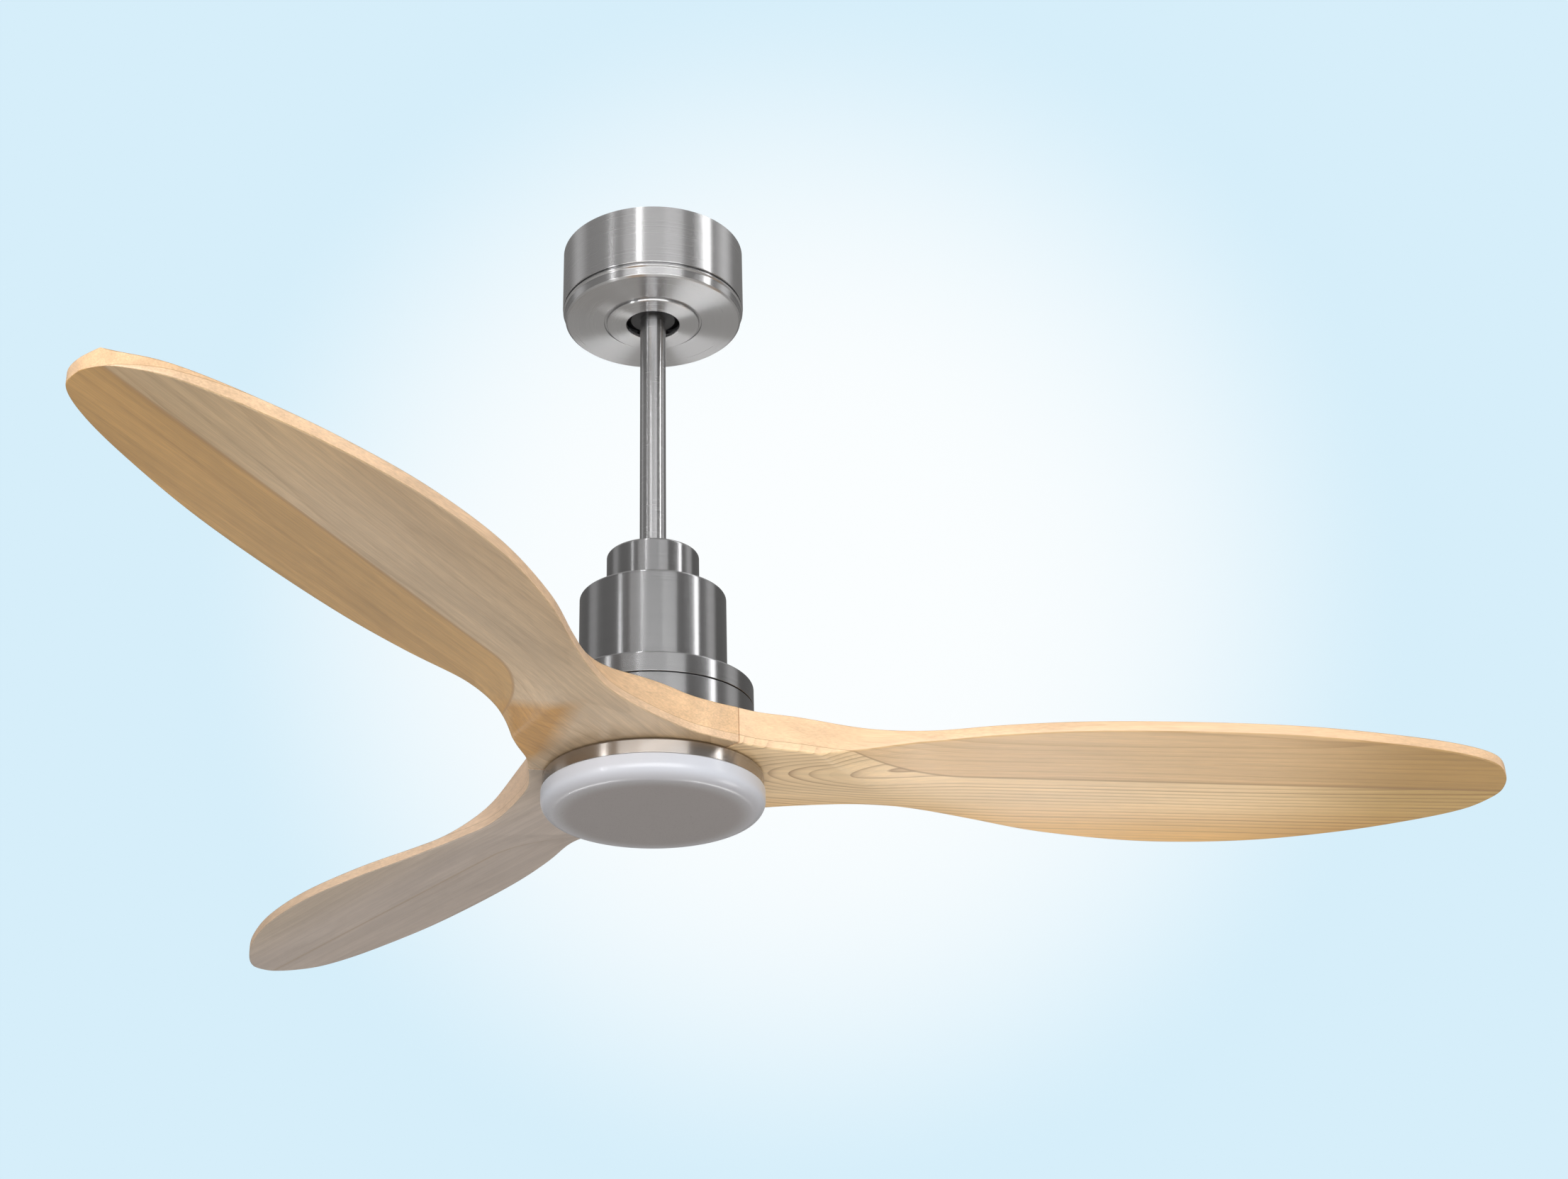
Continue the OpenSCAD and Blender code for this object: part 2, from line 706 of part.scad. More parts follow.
module rotor_magnets() {
    span = 360 / magnets - 2;
    color("slategray") around(magnets, 0) translate([0, 0, magnet_band_low]) rotate([0, 0, -span / 2])
        rotate_extrude(angle = span, $fn = 128)
            translate([magnet_r - magnet_t, 0]) square([magnet_t, magnet_h]);
}

// ---------- blades ----------
// Each blade is carved from one board. Its root is a third of the hub, cut along two
// radial seams. x runs along the blade and y across it, from the leading edge at -y to
// the trailing edge at +y.

seam_lead = -53;
seam_trail = seam_lead + 360 / blade_count;
hub_waist_r = motor_r + 18;
root_x = 60;
blade_mid = wood_bottom + 10.3;
tip = [fan_radius, -5];
steps = 3;
soft_edge = 1.2;
// Chordwise places, from -1 at the leading edge to 1 at the trailing edge
chord = [-1, -0.94, -0.5, 0, 0.5, 0.94, 1];

// Edge stations beyond the hub: share of the span, and distance across from the blade's line
lead_stations = [
    [0.07, -61.5], [0.133, -51], [0.18, -48.5], [0.242, -53], [0.325, -64.5], [0.433, -73.5],
    [0.567, -77], [0.7, -75.5], [0.817, -67.5], [0.908, -57], [0.967, -43], [0.993, -24]
];
trail_stations = [
    [0.032, 64.5], [0.108, 53], [0.175, 48], [0.242, 52.5], [0.325, 65], [0.433, 83],
    [0.567, 93.5], [0.7, 88.5], [0.817, 71], [0.908, 49], [0.967, 29], [0.993, 10]
];

function polar(r, a) = [r * cos(a), r * sin(a)];
function turn(p, a) = [p[0] * cos(a) - p[1] * sin(a), p[0] * sin(a) + p[1] * cos(a)];
function along(station) = [root_x + station[0] * (fan_radius - root_x), station[1]];
// A point on a seam, moved in by half the gap; side is 1 on the leading seam
function on_seam(r, a, side) = polar(r, a) + side * seam_gap / 2 * [-sin(a), cos(a)];

lead_points = concat(
    [on_seam(hub_waist_r, seam_lead, 1), polar(hub_waist_r + 6, seam_lead + 11)],
    [for (s = lead_stations) along(s)], [tip]
);
trail_points = concat(
    [on_seam(hub_waist_r, seam_trail, -1), polar(hub_waist_r - 1.5, seam_trail - 12)],
    [for (s = trail_stations) along(s)], [tip]
);
segments = len(lead_points) - 1;

function spline(p0, p1, p2, p3, t) = 0.5 * (2 * p1 + (p2 - p0) * t
    + (2 * p0 - 5 * p1 + 4 * p2 - p3) * t * t + (3 * p1 - p0 - 3 * p2 + p3) * t * t * t);

// Point at u along an edge; before and after continue it into the neighbouring edges
function edge_point(points, before, after, u) =
    let (k = min(floor(u), segments - 1), t = u - k)
    spline(k > 0 ? points[k - 1] : before, points[k], points[k + 1],
        k + 2 <= segments ? points[k + 2] : after, t);

function lead_at(u) = edge_point(lead_points, turn(trail_points[1], -120), trail_points[segments - 1], u);
function trail_at(u) = edge_point(trail_points, turn(lead_points[1], 120), lead_points[segments - 1], u);

// Ribs from the apex of the root to the tip: [leading point, trailing point]
ribs = concat(
    [for (r = [12, 60]) [on_seam(r, seam_lead, 1), on_seam(r, seam_trail, -1)]],
    [for (i = [0 : segments * steps - 1]) [lead_at(i / steps), trail_at(i / steps)]],
    [[lead_at(segments - 0.07), trail_at(segments - 0.07)]]
);

function clamp01(t) = min(1, max(0, t));
function ease(t) = let (c = clamp01(t)) c * c * (3 - 2 * c);
function rise(t) = let (c = clamp01(t)) c * (2 - c);
function pitched(y) = blade_mid - y * tan(blade_pitch);
// The flat underside of the hub ends on a slanted crease, where the pitched face begins
function crease_x(y) = hub_waist_r + 22.5 + 0.72 * (y + 57);
function under_z(x, y, v) =
    let (w = rise((x - crease_x(y)) / 85), z = (1 - w) * wood_bottom + w * (pitched(y) - blade_t / 2))
    z + (abs(v) == 1 ? soft_edge : 0);
function over_z(x, y, v) =
    let (w = ease((x - motor_r - 12) / 150),
        z = (1 - w) * wood_top + w * (pitched(y) + blade_t / 2 + blade_crown * (1 - v * v)))
    z - (abs(v) == 1 ? soft_edge : 0);
function rib_point(rib, v) = rib[0] + (rib[1] - rib[0]) * (v + 1) / 2;

module blade_body() {
    n = len(ribs);
    m = len(chord);
    under = [for (rib = ribs) for (v = chord)
        let (p = rib_point(rib, v)) [p[0], p[1], under_z(p[0], p[1], v)]];
    over = [for (rib = ribs) for (v = chord)
        let (p = rib_point(rib, v)) [p[0], p[1], over_z(p[0], p[1], v)]];
    top = n * m;
    end = (n - 1) * m;
    quads = concat(
        [for (i = [0 : n - 2]) for (j = [0 : m - 2]) let (a = i * m + j) [a, a + m, a + m + 1, a + 1]],
        [for (i = [0 : n - 2]) for (j = [0 : m - 2]) let (a = top + i * m + j) [a, a + 1, a + m + 1, a + m]],
        [for (i = [0 : n - 2]) let (a = i * m) [a, top + a, top + a + m, a + m]],
        [for (i = [0 : n - 2]) let (a = i * m + m - 1) [a, a + m, top + a + m, top + a]],
        [for (j = [0 : m - 2]) [j, j + 1, top + j + 1, top + j]],
        [for (j = [0 : m - 2]) let (a = end + j) [a, top + a, top + a + 1, a + 1]]
    );
    polyhedron(points = concat(under, over),
        faces = [for (q = quads) for (f = [[q[0], q[1], q[2]], [q[0], q[2], q[3]]]) f], convexity = 6);
}

// Places of one blade's screws, in the blade's frame
module at_blade_screws() {
    for (s = hub_screws)
        rotate([0, 0, s[1] + (seam_lead + seam_trail) / 2]) translate([s[0], 0, 0]) children();
}

// Each blade's own frame in turn
module at_blades() {
    for (i = [0 : blade_count - 1]) rotate([0, 0, blade_azimuth + i * 360 / blade_count]) children();
}

// Places of all the blade screws
module at_hub_screws() {
    at_blades() at_blade_screws() children();
}

module blade(index) {
    rotate([0, 0, blade_azimuth + index * 360 / blade_count]) difference() {
        blade_body();
        hole(hub_hole_r, wood_bottom, wood_top);
        at_blade_screws() {
            hole(m5[0] + hole_gap, wood_bottom, wood_top);
            translate([0, 0, wood_bottom - 1]) cylinder(r = hub_counterbore_r, h = hub_counterbore_h + 1);
        }
    }
}

module blade_a() {
    color("burlywood") blade(0);
}

module blade_b() {
    color("burlywood") blade(1);
}

module blade_c() {
    color("burlywood") blade(2);
}

module blade_gaskets() {
    inner_r = hub_hole_r + 4;
    color("black") at_blades() difference() {
        rotate([0, 0, seam_lead + 1]) translate([0, 0, wood_top])
            rotate_extrude(angle = 360 / blade_count - 2)
                translate([inner_r, 0]) square([motor_r - 1 - inner_r, gasket_t]);
        at_blade_screws() hole(m5[0] + hole_gap, wood_top, wood_top + gasket_t);
        rotate([0, 0, -blade_azimuth]) around(shell_screw_count, shell_screw_ring_r)
            hole(m3[1] + 1, wood_top, wood_top + gasket_t);
    }
}

module blade_washers() {
    t = 1;
    color("silver") at_hub_screws() translate([0, 0, wood_bottom + hub_counterbore_h - t]) difference() {
        cylinder(r = hub_counterbore_r - 0.5, h = t, $fn = 48);
        translate([0, 0, -1]) cylinder(r = m5[0] + hole_gap, h = t + 2, $fn = 48);
    }
}

module blade_screws() {
    head_z = wood_bottom + hub_counterbore_h - 1;
    color("silver") at_hub_screws() translate([0, 0, head_z])
        screw_up(m5, shell_bottom + shell_t + boss_h - 0.5 - head_z);
}

// ---------- light ----------

module light_mount() {
    color("silver") difference() {
        union() {
            translate([0, 0, pan_top]) cylinder(r = mount_r, h = mount_flange_t);
            translate([0, 0, pan_top]) cylinder(r = mount_hub_r, h = mount_h);
        }
        hole(shaft_r, pan_top, pan_top + mount_h);
        around(3, mount_screw_r) hole(m4[0], pan_top, pan_top + mount_flange_t);
    }
}

module shaft_nut() {
    color("silver") translate([0, 0, pan_top - pan_t - nut_h]) difference() {
        cylinder(r = shaft_r + 4, h = nut_h, $fn = 6);
        translate([0, 0, -1]) cylinder(r = shaft_r, h = nut_h + 2);
    }
}

module light_pan() {
    skirt_r = pan_r - pan_t;
    color("silver") difference() {
        union() {
            rotate_extrude($fn = 128) polygon([
                [shaft_r + hole_gap, pan_top - pan_t], [shaft_r + hole_gap, pan_top], [pan_r - 1.2, pan_top],
                [pan_r - 0.3, pan_top - 0.3], [pan_r, pan_top - 1.2], [pan_r, pan_bottom + 0.4],
                [pan_r - 0.4, pan_bottom], [skirt_r, pan_bottom], [skirt_r, pan_top - pan_t]
            ]);
            around(3, board_screw_r) translate([0, 0, board_top])
                cylinder(r = 3.5, h = standoff_h + eps, $fn = 32);
            // bayonet tabs under the diffuser's lugs
            for (i = [0 : 2]) rotate([0, 0, i * 120 - lug_angle / 2]) translate([0, 0, tab_top - lug_t])
                rotate_extrude(angle = lug_angle, $fn = 128)
                    translate([rim_r + 0.4, 0]) square([skirt_r + 0.1 - rim_r - 0.4, lug_t]);
        }
        around(3, mount_screw_r) hole(m4[0] + hole_gap, pan_top - pan_t, pan_top);
        around(3, board_screw_r) hole(m3[0], board_top, pan_top - pan_t);
    }
}

module pan_screws() {
    color("silver") around(3, mount_screw_r) translate([0, 0, pan_top - pan_t])
        screw_up(m4, mount_flange_t + pan_t - 0.2);
}

module led_board() {
    color("whitesmoke") difference() {
        tube(board_r, board_hole_r, board_top - board_t, board_t);
        around(3, board_screw_r) hole(m3[0] + hole_gap, board_top - board_t, board_top);
        around(3, mount_screw_r) hole(m4[1] + 0.5, board_top - board_t, board_top);
    }
}

module led_chips() {
    color("khaki") for (row = [[12, 0.45], [18, 0.78], [24, 0.93]])
        around(row[0], row[1] * board_r, 180 / row[0]) translate([0, 0, board_top - board_t - chip_size[2]])
            translate([-chip_size[0] / 2, -chip_size[1] / 2, 0]) cube(chip_size);
}

module board_screws() {
    color("silver") around(3, board_screw_r) translate([0, 0, board_top - board_t])
        screw_up(m3, board_t + standoff_h - 0.3);
}

// Opal bowl: flat dome, rounded corner, straight side, and a rim with three lugs inside the pan
module diffuser() {
    face_r = diffuser_r - diffuser_round;
    inner_round = diffuser_round - diffuser_t;
    corner_z = diffuser_bottom + diffuser_dome + diffuser_round;
    arc = [for (a = [0 : 15 : 90]) [sin(a), -cos(a)]];
    outer = [for (p = arc) [face_r, corner_z] + diffuser_round * p];
    inner = [for (i = [len(arc) - 1 : -1 : 0]) [face_r, corner_z] + inner_round * arc[i]];
    color("white") union() {
        rotate_extrude($fn = 128) polygon(concat(
            [[0, diffuser_bottom], [face_r * 0.6, diffuser_bottom + 0.4]], outer,
            [[diffuser_r, diffuser_top - 1], [diffuser_r - 1, diffuser_top], [rim_r, diffuser_top],
                [rim_r, rim_top], [rim_r - diffuser_t, rim_top],
                [rim_r - diffuser_t, diffuser_top - diffuser_t],
                [diffuser_r - diffuser_t, diffuser_top - diffuser_t - 2]],
            inner, [[face_r * 0.6, diffuser_bottom + 0.4 + diffuser_t], [0, diffuser_bottom + diffuser_t]]
        ));
        for (i = [0 : 2]) rotate([0, 0, i * 120 - lug_angle / 2]) translate([0, 0, rim_top - lug_t])
            rotate_extrude(angle = lug_angle, $fn = 128)
                translate([rim_r - 0.5, 0]) square([lug_reach + 0.5, lug_t]);
    }
}

// ---------- wiring held by the fan ----------

// How far the lead stands off the axis at a level: beside the pins, then in the shaft's bore
function lead_y(z) = lead_offset * ease((z - lead_bend_end) / (lead_bend_top - lead_bend_end));

// Sheathed lead down the rod, past its pins, and on through the hollow shaft
module main_lead() {
    sides = 10;
    bend_rings = 6;
    bend = [for (i = [0 : bend_rings]) lead_bend_top + (lead_bend_end - lead_bend_top) * i / bend_rings];
    levels = concat([lead_top], bend, [lead_end]);
    n = len(levels);
    points = [for (z = levels) for (i = [0 : sides - 1])
        [lead_r * cos(i * 360 / sides), lead_y(z) + lead_r * sin(i * 360 / sides), z]];
    color("white") polyhedron(points = points, faces = concat(
        [[for (i = [sides - 1 : -1 : 0]) i]],
        [for (k = [0 : n - 2]) for (i = [0 : sides - 1])
            let (a = k * sides + i, b = k * sides + (i + 1) % sides)
            each [[a, b, b + sides], [a, b + sides, a + sides]]],
        [[for (i = [0 : sides - 1]) (n - 1) * sides + i]]
    ));
}

// Connectors on the two ends of the lead
module lead_plugs() {
    plug = [8, 4, 2];
    color("ivory") for (place = [[lead_offset, lead_top], [0, lead_end - plug[2]]])
        translate([-plug[0] / 2, place[0] - plug[1] / 2, place[1]]) cube(plug);
}

ceiling_bracket();
hanger_cradle();
receiver();
terminal_block();
earth_screw();
canopy();
canopy_screws();
canopy_cover();
canopy_collar();
ball_seat();
hanger_ball();
ball_pin();
ball_set_screw();
downrod();
yoke();
yoke_pin();
yoke_clip();
yoke_set_screws();
yoke_cover();
drum_cover();
drum_screws();
led_driver();
hollow_shaft();
stator_core();
stator_windings();
bearing_inner_rings();
bearing_balls();
bearing_cages();
bearing_outer_rings();
motor_shell_top();
motor_shell_bottom();
shell_screws();
rotor_ring();
rotor_magnets();
blade_a();
blade_b();
blade_c();
blade_gaskets();
blade_washers();
blade_screws();
light_mount();
shaft_nut();
light_pan();
pan_screws();
led_board();
led_chips();
board_screws();
diffuser();
main_lead();
lead_plugs();
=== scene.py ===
"""Looks of the ceiling fan with light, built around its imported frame.

The sheet metal, the carved wood and the opal bowl are made here as fine meshes in the places that
the frame gives. Every other piece is the frame's own, dressed with its finish.
Lengths are millimetres in every class, and turn to metres where a mesh, light or camera is made.
"""

import logging
import math
from dataclasses import dataclass
from enum import Enum
from typing import Sequence

import bmesh
import bpy
from mathutils import Matrix, Vector


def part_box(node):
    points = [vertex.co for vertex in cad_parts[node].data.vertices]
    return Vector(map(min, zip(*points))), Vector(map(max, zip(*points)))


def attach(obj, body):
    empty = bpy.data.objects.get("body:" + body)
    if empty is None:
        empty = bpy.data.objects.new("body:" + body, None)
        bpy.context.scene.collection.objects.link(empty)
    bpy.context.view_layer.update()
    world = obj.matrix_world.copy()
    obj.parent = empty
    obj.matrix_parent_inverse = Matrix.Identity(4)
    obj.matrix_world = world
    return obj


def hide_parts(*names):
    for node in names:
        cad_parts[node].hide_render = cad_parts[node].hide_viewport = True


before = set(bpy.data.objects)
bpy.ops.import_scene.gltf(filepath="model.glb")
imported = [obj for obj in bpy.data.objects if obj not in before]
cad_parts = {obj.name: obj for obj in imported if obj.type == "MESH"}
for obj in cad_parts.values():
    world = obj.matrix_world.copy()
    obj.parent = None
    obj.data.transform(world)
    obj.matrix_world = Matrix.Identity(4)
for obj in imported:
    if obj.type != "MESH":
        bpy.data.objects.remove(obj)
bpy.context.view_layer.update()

MM = 0.001
LATHE_SEGMENTS = 192
FILLET_STEPS = 5
WELD = 1e-7  # metres between points that are made one
CREASE_DEGREES = 50  # a turned edge at least as steep as this stays sharp
NOISE_LOW, NOISE_HIGH = 0.3, 0.7  # a noise texture mostly stays between these
QUARTER_TURN = 0.25
THIRD_TURN = 120
log = logging.getLogger("ceiling_fan")


class Body(Enum):
    """The moving bodies of the fan."""

    CEILING = "ceiling_mount"
    LINER = "ball_liner"
    HANGING = "fan_body"
    ROTOR = "rotor"
    CAGES = "cage_set"
    BOWL = "diffuser_bowl"


# ---------- numbers ----------


def linear(hex_colour: str) -> tuple[float, float, float, float]:
    """Turn an sRGB hex colour into the linear values that shaders use.

    Args:
        hex_colour: Colour such as "#A0B0C0".

    Returns:
        Linear red, green, blue and an alpha of 1.
    """
    parts = [int(hex_colour[i:i + 2], 16) / 255 for i in (1, 3, 5)]
    red, green, blue = (c / 12.92 if c <= 0.04045 else ((c + 0.055) / 1.055) ** 2.4 for c in parts)
    return red, green, blue, 1.0


def clamp01(t: float) -> float:
    """Limit a share to 0..1."""
    return min(1.0, max(0.0, t))


def ease(t: float) -> float:
    """Smooth step from 0 to 1."""
    c = clamp01(t)
    return c * c * (3 - 2 * c)


def rise(t: float) -> float:
    """Step from 0 to 1 that starts with a crease and ends flat."""
    c = clamp01(t)
    return c * (2 - c)


def polar(radius: float, degrees: float) -> Vector:
    """Point in the plane at a radius and an angle."""
    a = math.radians(degrees)
    return Vector((radius * math.cos(a), radius * math.sin(a)))


def turned(point: Vector, degrees: float) -> Vector:
    """Point in the plane turned about the origin."""
    c, s = math.cos(math.radians(degrees)), math.sin(math.radians(degrees))
    return Vector((point.x * c - point.y * s, point.x * s + point.y * c))


def node_span(node: str) -> tuple[float, float, float]:
    """Radius, lowest level and highest level of a round node, in millimetres.

    Args:
        node: Name of a node of the frame.

    Returns:
        Largest half width along X, lowest z and highest z.
    """
    low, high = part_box(node)
    return high.x / MM, low.z / MM, high.z / MM


# ---------- materials ----------


def add(tree: bpy.types.NodeTree, kind: str, *values: object, out: int | str = 0,
        **settings: object) -> bpy.types.NodeSocket | None:
    """Add one shader node with its settings and links.

    Args:
        tree: Node tree that takes the node.
        kind: Node type after "ShaderNode", such as "Math".
        values: Values or sockets for its inputs in order, or one dict of them by name or index.
        out: Name or index of the output to hand back.
        settings: Attributes of the node itself.

    Returns:
        The chosen output, or None where the node has none.
    """
    node = tree.nodes.new("ShaderNode" + kind)
    for name, value in settings.items():
        setattr(node, name, value)
    inputs = values[0] if values and isinstance(values[0], dict) else dict(enumerate(values))
    for key, value in inputs.items():
        if isinstance(value, bpy.types.NodeSocket):
            tree.links.new(value, node.inputs[key])
        else:
            node.inputs[key].default_value = value
    return node.outputs[out] if node.outputs else None


@dataclass(frozen=True)
class Finish:
    """A surface finish. Its fields go straight to the shader, and pattern() adds what varies."""

    name: str
    colour: str
    roughness: float = 0.5
    metallic: float = 0.0
    ior: float = 1.5
    anisotropy: float = 0.0
    coat: float = 0.0
    coat_roughness: float = 0.15

    def material(self) -> bpy.types.Material:
        """Build the material once and hand out the same one afterwards.

        Returns:
            The material.
        """
        known = bpy.data.materials.get(self.name)
        if known:
            return known
        made = bpy.data.materials.new(self.name)
        made.use_nodes = True
        made.diffuse_color = linear(self.colour)
        tree = made.node_tree
        shader = tree.nodes["Principled BSDF"]
        values = {"Base Color": linear(self.colour), "Roughness": self.roughness,
                  "Metallic": self.metallic, "Coat Weight": self.coat,
                  "Coat Roughness": self.coat_roughness, "Anisotropic": self.anisotropy}
        if self.metallic < 1:
            values["IOR"] = self.ior
        for socket, value in values.items():
            shader.inputs[socket].default_value = value
        self.pattern(tree, shader)
        return made

    def pattern(self, tree: bpy.types.NodeTree, shader: bpy.types.Node) -> None:
        """Add the nodes for what varies over the surface."""
        raise NotImplementedError

    def vary(self, tree: bpy.types.NodeTree, shader: bpy.types.Node, value: bpy.types.NodeSocket,
             tone: float, rough: float) -> None:
        """Let colour and roughness follow a value that swings about 0.5.

        Args:
            tree: Node tree.
            shader: Its shader.
            value: The value.
            tone: Share by which the colour goes up and down.
            rough: How far the roughness goes up and down.
        """
        scale = add(tree, "MapRange", value, NOISE_LOW, NOISE_HIGH, 1 - tone, 1 + tone)
        shade = add(tree, "VectorMath", {0: linear(self.colour)[:3], "Scale": scale},
                    operation="SCALE")
        gloss = add(tree, "MapRange", value, NOISE_LOW, NOISE_HIGH, self.roughness - rough,
                    self.roughness + rough)
        tree.links.new(shade, shader.inputs["Base Color"])
        tree.links.new(gloss, shader.inputs["Roughness"])

    def bump(self, tree: bpy.types.NodeTree, shader: bpy.types.Node, height: bpy.types.NodeSocket,
             depth_mm: float) -> None:
        """Raise the surface by a height pattern of a real depth.

        Args:
            tree: Node tree.
            shader: Its shader.
            height: The pattern, from 0 to 1.
            depth_mm: Height of the raised parts, in millimetres.
        """
        raised = add(tree, "Bump", {"Height": height, "Distance": depth_mm * MM, "Strength": 1.0})
        tree.links.new(raised, shader.inputs["Normal"])


@dataclass(frozen=True)
class BrushedNickel(Finish):
    """Brushed nickel on spun steel. Fine lines run round the axis and stretch each highlight
    across them, so that a lamp shows as an upright band on a wall and as a ray on a flat."""

    metallic: float = 1.0
    roughness: float = 0.27
    anisotropy: float = 0.97
    line_mm: float = 0.5
    line_depth_mm: float = 0.0004
    stroke_mm: float = 150.0
    stroke_at_r: float = 80.0
    tone: float = 0.035
    gloss: float = 0.004

    def pattern(self, tree: bpy.types.NodeTree, shader: bpy.types.Node) -> None:
        """Lines round the axis in colour, roughness and height.

        Real lines are 0.05 mm apart. They are drawn ten times as coarse so that they show.

        Args:
            tree: Node tree.
            shader: Its shader.
        """
        shader.inputs["Anisotropic Rotation"].default_value = QUARTER_TURN
        uv = add(tree, "UVMap", uv_map="turning")
        tangent = add(tree, "Tangent", direction_type="UV_MAP", uv_map="turning")
        tree.links.new(tangent, shader.inputs["Tangent"])
        place = add(tree, "TexCoord", out="Object")
        flat = add(tree, "VectorMath", place, (1, 1, 0), operation="MULTIPLY")
        ring = add(tree, "VectorMath", flat, operation="NORMALIZE")
        # a stroke has its full length at this radius, which is near the canopy's
        stroke = add(tree, "VectorMath", {0: ring, "Scale": self.stroke_at_r / self.stroke_mm},
                     operation="SCALE")
        along = add(tree, "SeparateXYZ", uv, out="Y")
        level = add(tree, "Math", along, 1 / (self.line_mm * MM), operation="MULTIPLY")
        lift = add(tree, "CombineXYZ", {"Z": level})
        lines = add(tree, "VectorMath", stroke, lift, operation="ADD")
        fine = add(tree, "TexNoise", {"Vector": lines, "Scale": 1.0, "Detail": 3.0})
        self.vary(tree, shader, fine, self.tone, self.gloss)
        self.bump(tree, shader, fine, self.line_depth_mm)


@dataclass(frozen=True)
class PlatedSteel(Finish):
    """Pressed or turned steel with a thin plating: soft cloudy sheen with faint handling marks."""

    metallic: float = 1.0
    roughness: float = 0.38
    cloud_mm: float = 7.0
    cloud_tone: float = 0.13
    cloud_gloss: float = 0.08
    mark_mm: float = 0.5
    mark_depth_mm: float = 0.008

    def pattern(self, tree: bpy.types.NodeTree, shader: bpy.types.Node) -> None:
        """Clouds of plating a few millimetres wide, and marks of half a millimetre.

        Args:
            tree: Node tree.
            shader: Its shader.
        """
        place = add(tree, "TexCoord", out="Object")
        clouds = add(tree, "TexNoise", {"Vector": place, "Scale": 1 / (self.cloud_mm * MM),
                                        "Detail": 4.0})
        marks = add(tree, "TexNoise", {"Vector": place, "Scale": 1 / (self.mark_mm * MM),
                                       "Detail": 2.0})
        self.vary(tree, shader, clouds, self.cloud_tone, self.cloud_gloss)
        self.bump(tree, shader, marks, self.mark_depth_mm)


@dataclass(frozen=True)
class Moulding(Finish):
    """Moulded plastic, rubber or sprayed paint: one colour with a fine spark-eroded texture."""

    texture_mm: float = 0.5
    depth_mm: float = 0.015
    mottle_mm: float = 14.0
    mottle: float = 0.05
    mottle_gloss: float = 0.04

    def pattern(self, tree: bpy.types.NodeTree, shader: bpy.types.Node) -> None:
        """Fine texture in height, and an unevenness 14 mm wide in colour and gloss.

        Args:
            tree: Node tree.
            shader: Its shader.
        """
        place = add(tree, "TexCoord", out="Object")
        grain = add(tree, "TexNoise", {"Vector": place, "Scale": 1 / (self.texture_mm * MM),
                                       "Detail": 2.0})
        broad = add(tree, "TexNoise", {"Vector": place, "Scale": 1 / (self.mottle_mm * MM),
                                       "Detail": 3.0})
        self.vary(tree, shader, broad, self.mottle, self.mottle_gloss)
        self.bump(tree, shader, grain, self.depth_mm)


@dataclass(frozen=True)
class Layered(Finish):
    """Stacked sheets, seen as level bands, or close turns of wire, seen as rings."""

    band_mm: float = 0.5
    depth_mm: float = 0.06
    groove_shade_tone: float = 0.45
    groove_shade_share: float = 0.6
    rings: bool = False

    def pattern(self, tree: bpy.types.NodeTree, shader: bpy.types.Node) -> None:
        """Bands of a real width, with painted shade darkening the grooves between them.

        Args:
            tree: Node tree.
            shader: Its shader.
        """
        place = add(tree, "TexCoord", out="Object")
        flat = add(tree, "VectorMath", place, (1, 1, 0), operation="MULTIPLY")
        radius = add(tree, "VectorMath", flat, operation="LENGTH", out="Value")
        way = radius if self.rings else add(tree, "SeparateXYZ", place, out="Z")
        phase = add(tree, "Math", way, math.pi / (self.band_mm * MM), operation="MULTIPLY")
        swing = add(tree, "Math", phase, operation="SINE")
        wave = add(tree, "Math", swing, operation="ABSOLUTE")
        # painted shade: the colour darkens toward each groove
        tone = add(tree, "MapRange", wave, 0.0, self.groove_shade_share, self.groove_shade_tone, 1.0)
        shade = add(tree, "VectorMath", {0: linear(self.colour)[:3], "Scale": tone},
                    operation="SCALE")
        tree.links.new(shade, shader.inputs["Base Color"])
        self.bump(tree, shader, wave, self.depth_mm)


